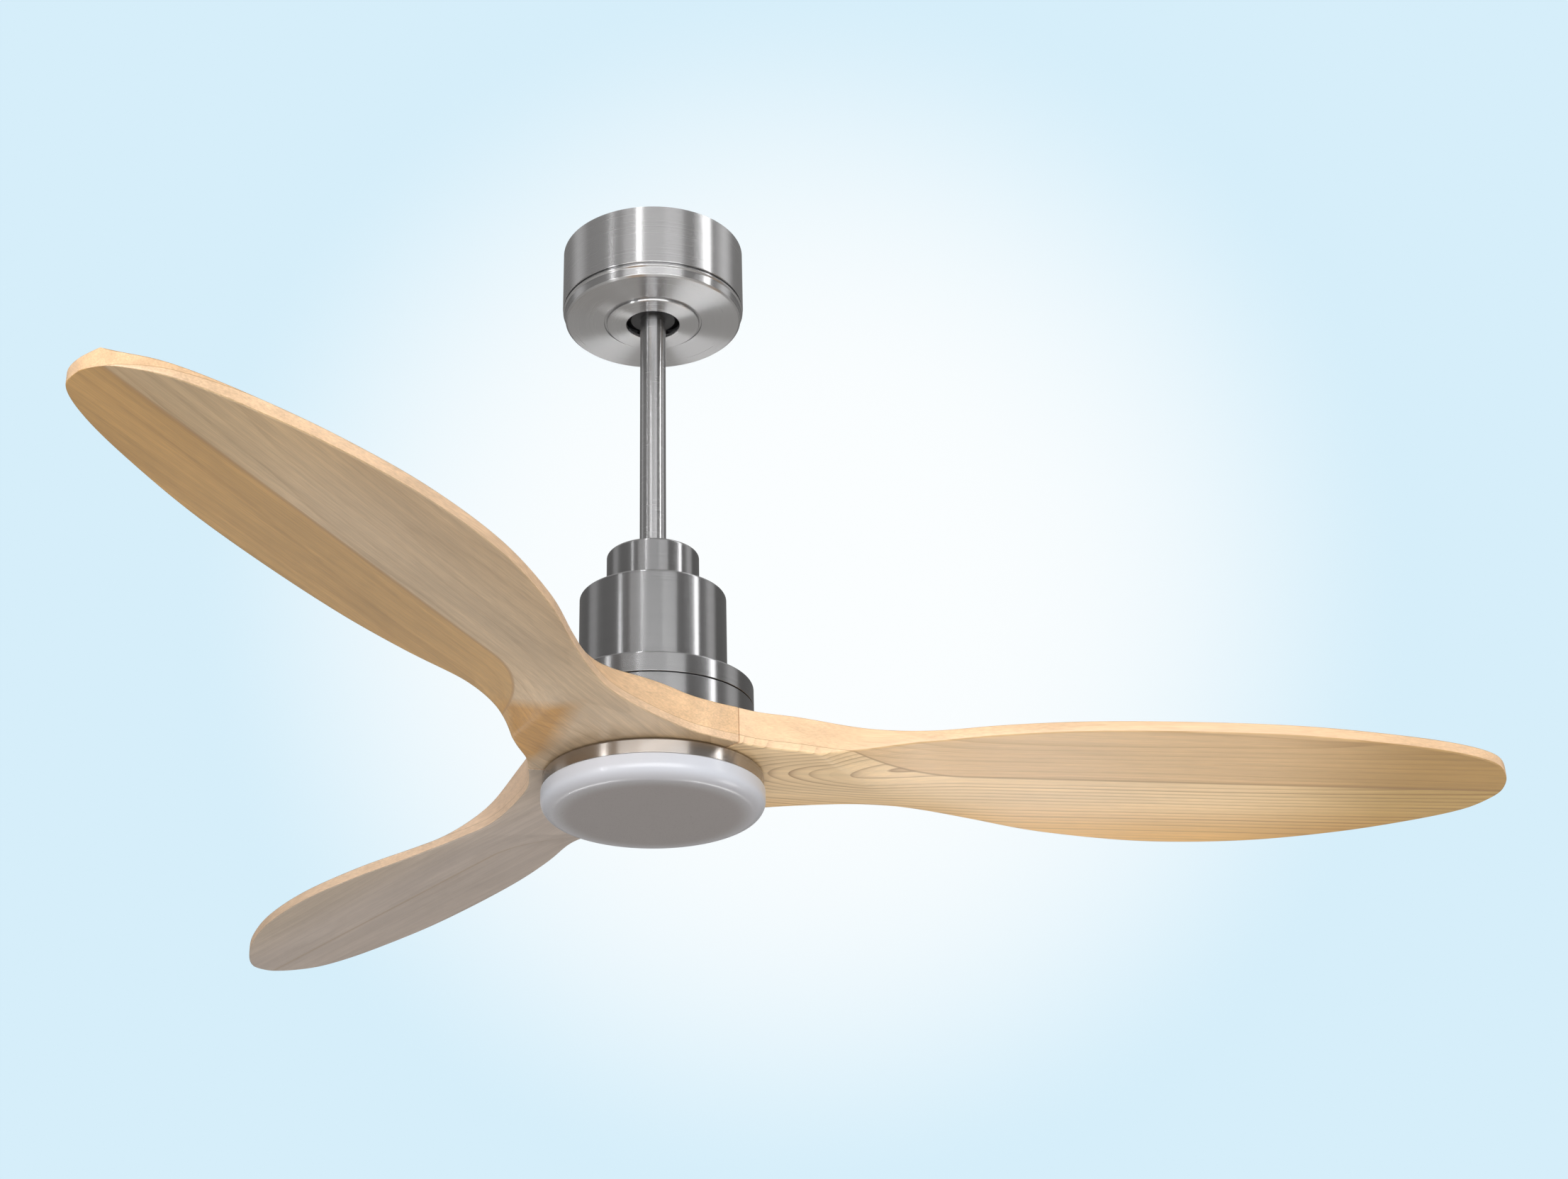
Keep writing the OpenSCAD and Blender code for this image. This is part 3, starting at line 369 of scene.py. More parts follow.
@dataclass(frozen=True)
class OpalAcrylic(Finish):
    """Opal acrylic, moulded: milky white that lets light wander inside, under a soft gloss.

    The face passes much of its light on into the dark bowl, and its grayer look is painted into its
    colour as painted shade.
    """

    ior: float = 1.49
    roughness: float = 0.3
    # the face's colour, grayer than the side's as painted shade
    face: str = "#888280"
    shade_face_starts: float = -0.3
    shade_face_full: float = -0.97
    painted_light_r: float = 82.0
    painted_shade_r: float = 62.0
    painted_light_share: float = 0.5
    scatter: float = 0.25
    scatter_mm: float = 6.0
    frost_mm: float = 0.6
    frost_gloss: float = 0.03
    frost_depth_mm: float = 0.01

    def pattern(self, tree: bpy.types.NodeTree, shader: bpy.types.Node) -> None:
        """Light scattered below the surface, a face grayed by painted shade and paler at its rim by
        painted light, and a frost of 0.6 mm.

        Args:
            tree: Node tree.
            shader: Its shader.
        """
        shader.inputs["Subsurface Weight"].default_value = self.scatter
        shader.inputs["Subsurface Radius"].default_value = (1.0, 1.0, 1.0)
        shader.inputs["Subsurface Scale"].default_value = self.scatter_mm * MM
        place = add(tree, "TexCoord", out="Object")
        facing = add(tree, "SeparateXYZ", add(tree, "TexCoord", out="Normal"), out="Z")
        flat = add(tree, "VectorMath", place, (1, 1, 0), operation="MULTIPLY")
        radius = add(tree, "VectorMath", flat, operation="LENGTH", out="Value")
        # painted shade: the colour turns to the face's gray where the surface faces down
        turn = add(tree, "MapRange", facing, self.shade_face_starts, self.shade_face_full,
                   interpolation_type="SMOOTHSTEP")
        # painted light: the outer 20 mm or so of the face is painted paler, for light that enters
        # through the side
        inner = add(tree, "MapRange", radius, self.painted_light_r * MM, self.painted_shade_r * MM,
                    self.painted_light_share, 1.0, interpolation_type="SMOOTHSTEP")
        share = add(tree, "Math", turn, inner, operation="MULTIPLY")
        colour = add(tree, "Mix", {0: share, 6: linear(self.colour), 7: linear(self.face)},
                     data_type="RGBA", out=2)
        frost = add(tree, "TexNoise", {"Vector": place, "Scale": 1 / (self.frost_mm * MM),
                                       "Detail": 2.0})
        # the frost varies only the gloss, as the colour is the one above
        self.vary(tree, shader, frost, 0.0, self.frost_gloss)
        tree.links.new(colour, shader.inputs["Base Color"])
        self.bump(tree, shader, frost, self.frost_depth_mm)


@dataclass(frozen=True)
class Board:
    """How one board of a blade looks.

    Colours are of early wood, of the late wood in its growth rings, and of the side toward the
    heart. The pith, where the rings have their middle, is across and above the glue line, and
    the rings close to ovals about it at oval_x.
    """

    early: str
    late: str
    heart: str
    ring_mm: float
    line: float
    pith: tuple[float, float]
    wander_mm: float = 9.0
    oval_x: float = 240.0
    heart_at: tuple[float, float] = (20.0, 90.0)
    hub_close: float = 0.3
    tip_close: float = 0.05
    late_power: float = 4.0
    faintest: float = 0.1
    seed: float = 0.0

    def colour(self, tree: bpy.types.NodeTree, grain: bpy.types.NodeSocket,
               glue_z: float) -> bpy.types.NodeSocket:
        """Growth rings cut by the carved face, as long lines and ovals.

        Args:
            tree: Node tree.
            grain: Place in the blade's own frame, in metres.
            glue_z: Level of the glue line, in millimetres.

        Returns:
            Colour of the board.
        """
        # the rings swing over about 400 mm along the blade and 70 mm across it
        bend = add(tree, "Mapping", {"Vector": grain, "Scale": (2.5, 14.0, 14.0),
                                     "Location": (self.seed, self.seed * 0.7, 3.1)})
        drift = add(tree, "TexNoise", {"Vector": bend, "Scale": 1.0, "Detail": 2.0}, out=1)
        centred = add(tree, "VectorMath", drift, (0.5, 0.5, 0.5), operation="SUBTRACT")
        swing = add(tree, "VectorMath", {0: centred, "Scale": 2 * self.wander_mm * MM},
                    operation="SCALE")
        moved = add(tree, "VectorMath", grain, swing, operation="ADD")
        pith = (self.oval_x * MM, self.pith[0] * MM, (glue_z + self.pith[1]) * MM)
        reach = add(tree, "VectorMath", moved, pith, operation="SUBTRACT")
        # the rings close quickly toward the hub, and run out slowly toward the tip
        out_x = add(tree, "SeparateXYZ", reach, out="X")
        hubward = add(tree, "Math", out_x, -self.hub_close, operation="MULTIPLY")
        tipward = add(tree, "Math", out_x, self.tip_close, operation="MULTIPLY")
        further = add(tree, "Math", hubward, tipward, operation="MAXIMUM")
        run = add(tree, "CombineXYZ", {"X": further})
        flat = add(tree, "VectorMath", reach, (0, 1, 1), operation="MULTIPLY")
        across = add(tree, "VectorMath", flat, run, operation="ADD")
        radius = add(tree, "VectorMath", across, operation="LENGTH", out="Value")
        count = add(tree, "Math", radius, self.ring_mm * MM, operation="DIVIDE")
        # each ring darkens slowly into its late wood, and ends at once where the next year starts
        saw = add(tree, "Math", count, operation="FRACT")
        late = add(tree, "Math", saw, self.late_power, operation="POWER")
        soft = add(tree, "MapRange", saw, 1.0, 0.94)
        year = add(tree, "TexWhiteNoise", {"W": add(tree, "Math", count, operation="FLOOR")},
                   noise_dimensions="1D")
        strength = add(tree, "MapRange", year, 0.0, 1.0, self.faintest * self.line, self.line)
        edge = add(tree, "Math", late, soft, operation="MULTIPLY")
        lines = add(tree, "Math", edge, strength, operation="MULTIPLY")
        y = add(tree, "SeparateXYZ", moved, out="Y")
        heart = add(tree, "MapRange", y, self.heart_at[0] * MM, self.heart_at[1] * MM,
                    interpolation_type="SMOOTHSTEP")
        ground = add(tree, "Mix", {0: heart, 6: linear(self.early), 7: linear(self.heart)},
                     data_type="RGBA", out=2)
        return add(tree, "Mix", {0: lines, 6: ground, 7: linear(self.late)},
                   data_type="RGBA", out=2)


@dataclass(frozen=True)
class Block:
    """A block of other wood let into the hub end: its look, its corners and its soft edges."""

    look: Board
    corners: tuple[tuple[float, float], ...]
    half_soft: float = 8.0

    def share(self, tree: bpy.types.NodeTree, grain: bpy.types.NodeSocket) -> bpy.types.NodeSocket:
        """How much a place lies inside the block, from 0 to 1.

        Args:
            tree: Node tree.
            grain: Place in the blade's own frame, in metres.

        Returns:
            The share.
        """
        inside = None
        for i, corner in enumerate(self.corners):
            start, end = Vector(corner), Vector(self.corners[(i + 1) % len(self.corners)])
            inward = Vector((start.y - end.y, end.x - start.x)).normalized()
            depth = add(tree, "VectorMath", grain, (inward.x, inward.y, 0),
                        operation="DOT_PRODUCT", out="Value")
            edge = inward.dot(start) * MM
            soft = self.half_soft * MM
            side = add(tree, "MapRange", depth, edge - soft, edge + soft)
            inside = add(tree, "Math", inside, side, operation="MULTIPLY") if inside else side
        return inside


@dataclass(frozen=True, kw_only=True)
class LacqueredWood(Finish):
    """Solid wood carved from two glued boards, under clear satin lacquer.

    The eye sees growth rings and fibres through a soft gloss, and upright edges painted paler
    as painted light.
    """

    roughness: float = 0.42
    coat: float = 0.18
    coat_roughness: float = 0.3
    upper: Board
    lower: Board
    block: Block | None = None
    half_join: float = 0.15
    glue_z: float = -462.0
    glue: str = "#8E6B44"
    glue_share: float = 0.6
    glue_core: float = 0.1
    glue_edge: float = 0.3
    fibre: float = 1.0
    fleck_gloss: float = 0.06
    fleck_depth_mm: float = 0.02
    # colour of the painted light on the upright edges
    edge: str = "#FBD5B0"
    edge_light_share: float = 0.6
    edge_light_starts: float = 0.6
    edge_light_full: float = 0.3
    tip_tone: tuple[float, float, float] = (1.0, 1.0, 1.0)
    tip_from: float = 440.0
    tip_to: float = 600.0

    def pattern(self, tree: bpy.types.NodeTree, shader: bpy.types.Node) -> None:
        """Two boards with their own rings, the glue line between them, fibres and streaks.

        Args:
            tree: Node tree.
            shader: Its shader.
        """
        grain = add(tree, "Attribute", attribute_name="grain", out="Vector")
        upper = self.upper.colour(tree, grain, self.glue_z)
        lower = self.lower.colour(tree, grain, self.glue_z)
        z = add(tree, "SeparateXYZ", grain, out="Z")
        side = add(tree, "MapRange", z, (self.glue_z - self.half_join) * MM,
                   (self.glue_z + self.half_join) * MM)
        colour = add(tree, "Mix", {0: side, 6: lower, 7: upper}, data_type="RGBA", out=2)
        if self.block:
            inset = self.block.look.colour(tree, grain, self.glue_z)
            colour = add(tree, "Mix", {0: self.block.share(tree, grain), 6: colour, 7: inset},
                         data_type="RGBA", out=2)
        # Repeats per metre along and across the grain, and the noise's detail. Flecks are 14 mm
        # by 0.9 mm, drawn wider than real fibres so that they show. Streaks are 180 mm by 6 mm,
        # the broad change of tone is 150 mm by 50 mm and fibres are 70 mm by 1 mm.
        repeats = ((70, 1100, 2.0), (5.5, 160, 3.0), (6.5, 20, 2.0), (14, 1000, 2.0))
        flecks, streaks, broad, fibres = (
            add(tree, "TexNoise", {
                "Vector": add(tree, "Mapping", {"Vector": grain, "Scale": (along, over, over)}),
                "Scale": 1.0, "Detail": detail})
            for along, over, detail in repeats)
        # the wood turns deeper toward the tip, and painted light makes the upright edges paler
        x = add(tree, "SeparateXYZ", grain, out="X")
        far = add(tree, "MapRange", x, self.tip_from * MM, self.tip_to * MM,
                  interpolation_type="SMOOTHSTEP")
        deep = add(tree, "VectorMath", colour, self.tip_tone, operation="MULTIPLY")
        colour = add(tree, "Mix", {0: far, 4: colour, 5: deep}, data_type="VECTOR", out=1)
        facing = add(tree, "SeparateXYZ", add(tree, "TexCoord", out="Normal"), out="Z")
        level = add(tree, "Math", facing, operation="ABSOLUTE")
        pale = add(tree, "MapRange", level, self.edge_light_starts, self.edge_light_full, 0.0,
                   self.edge_light_share, interpolation_type="SMOOTHSTEP")
        colour = add(tree, "Mix", {0: pale, 6: colour, 7: linear(self.edge)},
                     data_type="RGBA", out=2)
        # each pattern with the shares by which it darkens and lightens the wood
        for value, dark, light in ((flecks, 0.1, 0.07), (fibres, 0.1, 0.06), (streaks, 0.13, 0.06),
                                   (broad, 0.08, 0.06)):
            tone = add(tree, "MapRange", value, NOISE_LOW, NOISE_HIGH, 1 - dark * self.fibre,
                       1 + light * self.fibre)
            colour = add(tree, "VectorMath", {0: colour, "Scale": tone}, operation="SCALE")
        off = add(tree, "Math", z, self.glue_z * MM, operation="SUBTRACT")
        gap = add(tree, "Math", off, operation="ABSOLUTE")
        glue = add(tree, "MapRange", gap, self.glue_edge * MM, self.glue_core * MM, 0.0,
                   self.glue_share)
        colour = add(tree, "Mix", {0: glue, 6: colour, 7: linear(self.glue)},
                     data_type="RGBA", out=2)
        # the flecks vary only the gloss, as the colour is the one above
        self.vary(tree, shader, flecks, 0.0, self.fleck_gloss)
        tree.links.new(colour, shader.inputs["Base Color"])
        self.bump(tree, shader, flecks, self.fleck_depth_mm)


@dataclass(frozen=True)
class Finishes:
    """Every finish on the fan."""

    canopy: Finish = BrushedNickel("brushed_nickel_on_spun_canopy", "#C6C6C7")
    nickel: Finish = BrushedNickel("brushed_nickel_on_spun_housing", "#A0A0A1", roughness=0.24)
    nickel_ring: Finish = BrushedNickel("brushed_nickel_light_ring", "#BCB6B1")
    rod: Finish = BrushedNickel("brushed_nickel_rod", "#B8B8B9", tone=0.02)
    zinc: Finish = PlatedSteel("zinc_plated_steel", "#B4B8BA")
    oxide: Finish = PlatedSteel("black_oxide_steel", "#2B2B2D", roughness=0.45)
    turned: Finish = PlatedSteel("turned_steel", "#B8B8B6", roughness=0.28, cloud_mm=4.0)
    ground: Finish = PlatedSteel("ground_bearing_steel", "#C8C8CA", roughness=0.14, cloud_mm=10.0)
    brass: Finish = PlatedSteel("pressed_brass", "#C8A24E", roughness=0.3)
    magnet: Finish = PlatedSteel("nickel_plated_magnet", "#A8A9AD", roughness=0.22)
    cast: Finish = Moulding("painted_cast_iron", "#26272A", roughness=0.5, texture_mm=1.2,
                            depth_mm=0.08)
    # near-black, so that it stands in for the shade inside the collar's hole
    ball: Finish = Moulding("near_black_ball_as_painted_shade", "#1C1C1E", roughness=0.35, texture_mm=0.8)
    nylon: Finish = Moulding("moulded_black_nylon", "#17171A", roughness=0.5, ior=1.53)
    abs_black: Finish = Moulding("moulded_black_abs", "#1E1F22", roughness=0.48, ior=1.54)
    abs_white: Finish = Moulding("moulded_white_abs", "#DCDAD2", roughness=0.42, ior=1.54)
    sheath: Finish = Moulding("white_pvc_sheath", "#D8D6CE", roughness=0.4, ior=1.53)
    rubber: Finish = Moulding("matt_black_rubber", "#141414", roughness=0.8, ior=1.52)
    mask: Finish = Moulding("white_solder_mask", "#E6E6E2", roughness=0.3, ior=1.5, texture_mm=0.3)
    phosphor: Finish = Moulding("led_phosphor_lens", "#E3C84E", roughness=0.3, coat=0.5)
    laminations: Finish = Layered("stacked_motor_steel", "#6E7074", 0.4, 1.0, band_mm=1.0)
    windings: Finish = Layered("enamelled_copper_wire", "#B4662E", 0.28, 0.9, coat=0.6, band_mm=0.8,
                               depth_mm=0.2, rings=True)
    opal: Finish = OpalAcrylic("moulded_opal_acrylic", "#CBCED6", coat=0.15, coat_roughness=0.1)


# ---------- meshes ----------


@dataclass(frozen=True)
class Corner:
    """A corner of a turned profile: radius, level and the fillet that softens it."""

    r: float
    z: float
    fillet: float = 0.0


def rounded(corners: Sequence[Corner]) -> list[Vector]:
    """Closed profile with an arc at each corner that has a fillet.

    Args:
        corners: Corners in order round the section.

    Returns:
        Points of the profile.
    """
    points: list[Vector] = []
    for i, corner in enumerate(corners):
        here = Vector((corner.r, corner.z))
        if corner.fillet <= 0:
            points.append(here)
            continue
        before, after = corners[i - 1], corners[(i + 1) % len(corners)]
        back, on = Vector((before.r, before.z)) - here, Vector((after.r, after.z)) - here
        half = back.angle(on) / 2
        reach = min(corner.fillet / math.tan(half), 0.48 * back.length, 0.48 * on.length)
        radius = reach * math.tan(half)
        centre = here + (back.normalized() + on.normalized()).normalized() * radius / math.sin(half)
        start = here + back.normalized() * reach - centre
        end = here + on.normalized() * reach - centre
        sweep = start.angle_signed(end)
        for k in range(FILLET_STEPS + 1):
            points.append(centre + turned(start, -math.degrees(sweep) * k / FILLET_STEPS))
    return points


def link(name: str, mesh: bpy.types.Mesh) -> bpy.types.Object:
    """Put a mesh in the scene as an object at the origin.

    Args:
        name: Name of the object.
        mesh: Its mesh.

    Returns:
        The object.
    """
    piece = bpy.data.objects.new(name, mesh)
    bpy.context.scene.collection.objects.link(piece)
    return piece


def lathe(name: str, profile: Sequence[Vector], segments: int = LATHE_SEGMENTS) -> bpy.types.Object:
    """Turn a closed profile about Z.

    Its UV map "turning" runs round the axis along u, and along the profile in metres along v.

    Args:
        name: Name of the piece.
        profile: Points of radius and level in millimetres.
        segments: Sides of the turned surface.

    Returns:
        The piece.
    """
    count = len(profile)
    lengths = [0.0]
    for i in range(count):
        lengths.append(lengths[-1] + (profile[(i + 1) % count] - profile[i]).length * MM)
    made = bmesh.new()
    rings = []
    for i in range(segments):
        way = polar(1, 360 * i / segments)
        rings.append([made.verts.new((way.x * p.x * MM, way.y * p.x * MM, p.y * MM))
                      for p in profile])
    turning = made.loops.layers.uv.new("turning")
    for i in range(segments):
        for j in range(count):
            k, n = (i + 1) % segments, (j + 1) % count
            face = made.faces.new((rings[i][j], rings[k][j], rings[k][n], rings[i][n]))
            places = ((i, j), (i + 1, j), (i + 1, j + 1), (i, j + 1))
            for loop, (u, v) in zip(face.loops, places):
                loop[turning].uv = (u / segments, lengths[v])
    bmesh.ops.remove_doubles(made, verts=made.verts, dist=WELD)
    bmesh.ops.recalc_face_normals(made, faces=made.faces)
    mesh = bpy.data.meshes.new(name)
    made.to_mesh(mesh)
    made.free()
    mesh.shade_smooth()
    mesh.set_sharp_from_angle(angle=math.radians(CREASE_DEGREES))
    piece = link(name, mesh)
    weighted = piece.modifiers.new("face_weight", "WEIGHTED_NORMAL")
    weighted.keep_sharp = True
    return piece


def cylinder(name: str, radius: float, low: float, high: float, at: Vector,
             sides: int = 64) -> bpy.types.Object:
    """Upright cylinder that cuts a hole, in millimetres.

    Args:
        name: Name of the cutter.
        radius: Radius of the hole.
        low: Level of its lower end.
        high: Level of its upper end.
        at: Place of its axis in the plane.
        sides: Sides of the cylinder.

    Returns:
        The cutter.
    """
    made = bmesh.new()
    place = Matrix.Translation(Vector((at.x, at.y, (low + high) / 2)) * MM)
    bmesh.ops.create_cone(made, cap_ends=True, segments=sides, radius1=radius * MM,
                          radius2=radius * MM, depth=(high - low) * MM, matrix=place)
    mesh = bpy.data.meshes.new(name)
    made.to_mesh(mesh)
    made.free()
    return link(name, mesh)


def carve(piece: bpy.types.Object, cutters: Sequence[bpy.types.Object]) -> None:
    """Cut pieces out of a piece, and remove the cutters.

    Args:
        piece: The piece that is cut.
        cutters: What is cut out of it.
    """
    for cutter in cutters:
        cut = piece.modifiers.new("cut", "BOOLEAN")
        cut.operation, cut.object, cut.solver = "DIFFERENCE", cutter, "EXACT"
    graph = bpy.context.evaluated_depsgraph_get()
    mesh = bpy.data.meshes.new_from_object(piece.evaluated_get(graph), depsgraph=graph)
    piece.modifiers.clear()
    piece.data = mesh
    for cutter in cutters:
        bpy.data.meshes.remove(cutter.data)


def dress(piece: bpy.types.Object, finish: Finish, body: Body, slot: str,
          *nodes: str) -> bpy.types.Object:
    """Give a new piece its finish and its body, and hide the nodes it stands for.

    Args:
        piece: The new piece.
        finish: Its finish.
        body: The body that it moves with.
        slot: The record's material slot; not used.
        nodes: Nodes of the frame that it stands for.

    Returns:
        The same piece.
    """
    piece.data.materials.clear()
    piece.data.materials.append(finish.material())
    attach(piece, body.value)
    if nodes:
        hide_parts(*nodes)
    log.info("%s: %d faces, %s", piece.name, len(piece.data.polygons), finish.name)
    return piece


def dress_node(node: str, finish: Finish) -> None:
    """Give a node of the frame its finish.

    Args:
        node: Name of the node.
        finish: Its finish.
    """
    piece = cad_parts[node]
    piece.data.materials.clear()
    piece.data.materials.append(finish.material())
    log.info("%s: kept from the frame, %s", node, finish.name)


# ---------- sub-assemblies ----------


@dataclass
class Canopy:
    """Spun canopy against the ceiling, its twist-on trim and the raised collar."""

    finishes: Finishes
    sheet: float = 1.2
    floor_up: float = 2.5
    cup_opening_r: float = 34.3
    trim_h: float = 10.3
    spigot_inset: float = 1.8
    trim_hole_gap: float = 2.0
    collar_r: float = 38.5
    collar_hole_r: float = 22.0

    def build(self) -> None:
        """Make the canopy, the trim and the collar."""
        self.canopy()
        self.trim()
        self.collar()

    def canopy(self) -> None:
        """Straight wall with an inner floor that is open round the ball's cup."""
        radius, low, high = node_span("canopy")
        floor, inside, opening = low + self.floor_up, radius - self.sheet, self.cup_opening_r
        profile = rounded([
            Corner(inside, high, 0.3), Corner(radius, high, 0.3), Corner(radius, low, 0.9),
            Corner(inside, low, 0.2), Corner(inside, floor), Corner(opening, floor, 0.3),
            Corner(opening, floor + self.sheet, 0.3), Corner(inside, floor + self.sheet, 1.0)])
        dress(lathe("spun_canopy", profile), self.finishes.canopy, Body.CEILING,
              "brushed_nickel", "canopy")

    def trim(self) -> None:
        """Lip with a small bead, a tapered side and a flat face."""
        radius, low, high = node_span("canopy_cover")
        top, spigot = low + self.trim_h, radius - self.spigot_inset
        hole = self.collar_r + self.trim_hole_gap
        profile = rounded([
            Corner(spigot, high, 0.2), Corner(spigot, top, 0.2), Corner(radius - 0.9, top, 0.5),
            Corner(radius, top - 1.1, 0.8), Corner(radius - 1.6, top - 2.5, 0.5),
            Corner(radius - 2.3, low + 1.5, 0.6), Corner(radius - 4.0, low, 0.9),
            Corner(hole, low, 0.35), Corner(hole, low + self.sheet, 0.3),
            Corner(radius - 4.2, low + self.sheet, 1.0), Corner(spigot - self.sheet, top - 2, 0.5),
            Corner(spigot - self.sheet, high, 0.2)])
        dress(lathe("trim_cover", profile), self.finishes.canopy, Body.CEILING,
              "brushed_nickel", "canopy_cover")

    def collar(self) -> None:
        """Raised ring with a rounded lip round the rod's opening."""
        radius, low, high = node_span("canopy_collar")
        seat, outer, hole, t = high - self.sheet, self.collar_r, self.collar_hole_r, self.sheet
        profile = rounded([
            Corner(outer - t, high, 0.3), Corner(radius, high, 0.2), Corner(radius, seat, 0.2),
            Corner(outer, seat, 0.2), Corner(outer, low, 2.4), Corner(hole, low, 0.9),
            Corner(hole, seat, 0.2), Corner(hole + t, seat, 0.2), Corner(hole + t, low + t, 0.4),
            Corner(outer - t, low + t, 1.2)])
        dress(lathe("raised_collar", profile), self.finishes.canopy, Body.CEILING,
              "brushed_nickel", "canopy_collar")


@dataclass
class Hanger:
    """Ceiling bracket with its electrics, the ball joint, the rod and its coupling."""

    finishes: Finishes
    rod_wall: float = 2.0

    def build(self) -> None:
        """Make the rod and dress the rest."""
        f = self.finishes
        for node, finish in {
                "ceiling_bracket": f.zinc, "hanger_cradle": f.zinc, "receiver": f.abs_black,
                "terminal_block": f.abs_white, "earth_screw": f.brass, "canopy_screws": f.zinc,
                "ball_seat": f.nylon, "hanger_ball": f.ball, "ball_pin": f.zinc,
                "ball_set_screw": f.oxide, "yoke": f.cast, "yoke_pin": f.zinc,
                "yoke_clip": f.zinc, "yoke_set_screws": f.oxide, "main_lead": f.sheath,
                "lead_plugs": f.abs_white}.items():
            dress_node(node, finish)
        self.rod()

    def rod(self) -> None:
        """Drawn tube with softened ends."""
        radius, low, high = node_span("downrod")
        inner = radius - self.rod_wall
        profile = rounded([Corner(inner, low, 0.3), Corner(inner, high, 0.3),
                           Corner(radius, high, 0.4), Corner(radius, low, 0.4)])
        dress(lathe("drawn_rod", profile, 96), self.finishes.rod, Body.HANGING,
              "brushed_rod", "downrod")


@dataclass
class Housing:
    """Coupling cover, drum cover and the two halves of the turning motor shell."""

    finishes: Finishes
    sheet: float = 1.5
    rod_gap: float = 0.2
    drum_hole_r: float = 18.0
    shell: float = 2.5
    shaft_gap_r: float = 13.0
    bearing_r: float = 20.0
    bearing_w: float = 12.0
    boss_wall: float = 3.0

    def build(self) -> None:
        """Make the four covers."""
        self.coupling_cover()
        self.drum()
        self.shells()

    def coupling_cover(self) -> None:
        """Cup over the coupling."""
        radius, low, high = node_span("yoke_cover")
        rod, _, _ = node_span("downrod")
        t, bore = self.sheet, rod + self.rod_gap
        profile = rounded([
            Corner(bore, high - t, 0.2), Corner(bore, high, 0.3), Corner(radius, high, 2.2),
            Corner(radius, low, 0.3), Corner(radius - t, low, 0.3),
            Corner(radius - t, high - t, 1.5)])
        dress(lathe("coupling_cover", profile), self.finishes.nickel, Body.HANGING,
              "brushed_nickel", "yoke_cover")

    def drum(self) -> None:
        """Fixed drum over the motor, open below."""
        radius, low, high = node_span("drum_cover")
        t, hole = self.sheet, self.drum_hole_r
        profile = rounded([
            Corner(hole, high - t, 0.2), Corner(hole, high, 0.3), Corner(radius, high, 1.8),
            Corner(radius, low, 0.5), Corner(radius - t, low, 0.2),
            Corner(radius - t, high - t, 1.5)])
        dress(lathe("drum_housing", profile), self.finishes.nickel, Body.HANGING,
              "brushed_nickel", "drum_cover")

    def shells(self) -> None:
        """Upper and lower halves of the motor shell, each with its bearing seat."""
        radius, low, high = node_span("motor_shell_top")
        t, bore, seat = self.shell, self.shaft_gap_r, self.bearing_r
        inside, boss, depth = radius - t, seat + self.boss_wall, self.bearing_w
        upper = rounded([
            Corner(bore, high - t, 0.2), Corner(bore, high, 0.4), Corner(radius, high, 1.4),
            Corner(radius, low, 0.35), Corner(inside, low, 0.3), Corner(inside, high - t, 1.0),
            Corner(boss, high - t, 0.5), Corner(boss, high - t - depth, 0.4),
            Corner(seat, high - t - depth, 0.4), Corner(seat, high - t)])
        piece = lathe("upper_shell", upper)
        dress(piece, self.finishes.nickel, Body.ROTOR, "brushed_nickel", "motor_shell_top")
        radius, low, high = node_span("motor_shell_bottom")
        lower = rounded([
            Corner(bore, low + t, 0.2), Corner(seat, low + t), Corner(seat, low + t + depth, 0.4),
            Corner(boss, low + t + depth, 0.4), Corner(boss, low + t, 0.5),
            Corner(inside, low + t, 1.0), Corner(inside, high, 0.3), Corner(radius, high, 0.35),
            Corner(radius, low, 0.9), Corner(bore, low, 0.3)])
        piece = lathe("lower_shell", lower)
        dress(piece, self.finishes.nickel, Body.ROTOR, "brushed_nickel", "motor_shell_bottom")


@dataclass
class Motor:
    """What turns and what stands still inside the motor shell."""

    finishes: Finishes

    def build(self) -> None:
        """Dress what the frame gives."""
        f = self.finishes
        for node, finish in {
                "drum_screws": f.zinc, "led_driver": f.abs_white, "hollow_shaft": f.turned,
                "stator_core": f.laminations, "stator_windings": f.windings,
                "bearing_inner_rings": f.ground, "bearing_balls": f.ground,
                "bearing_cages": f.brass, "bearing_outer_rings": f.ground, "shell_screws": f.zinc,
                "rotor_ring": f.laminations, "rotor_magnets": f.magnet}.items():
            dress_node(node, finish)


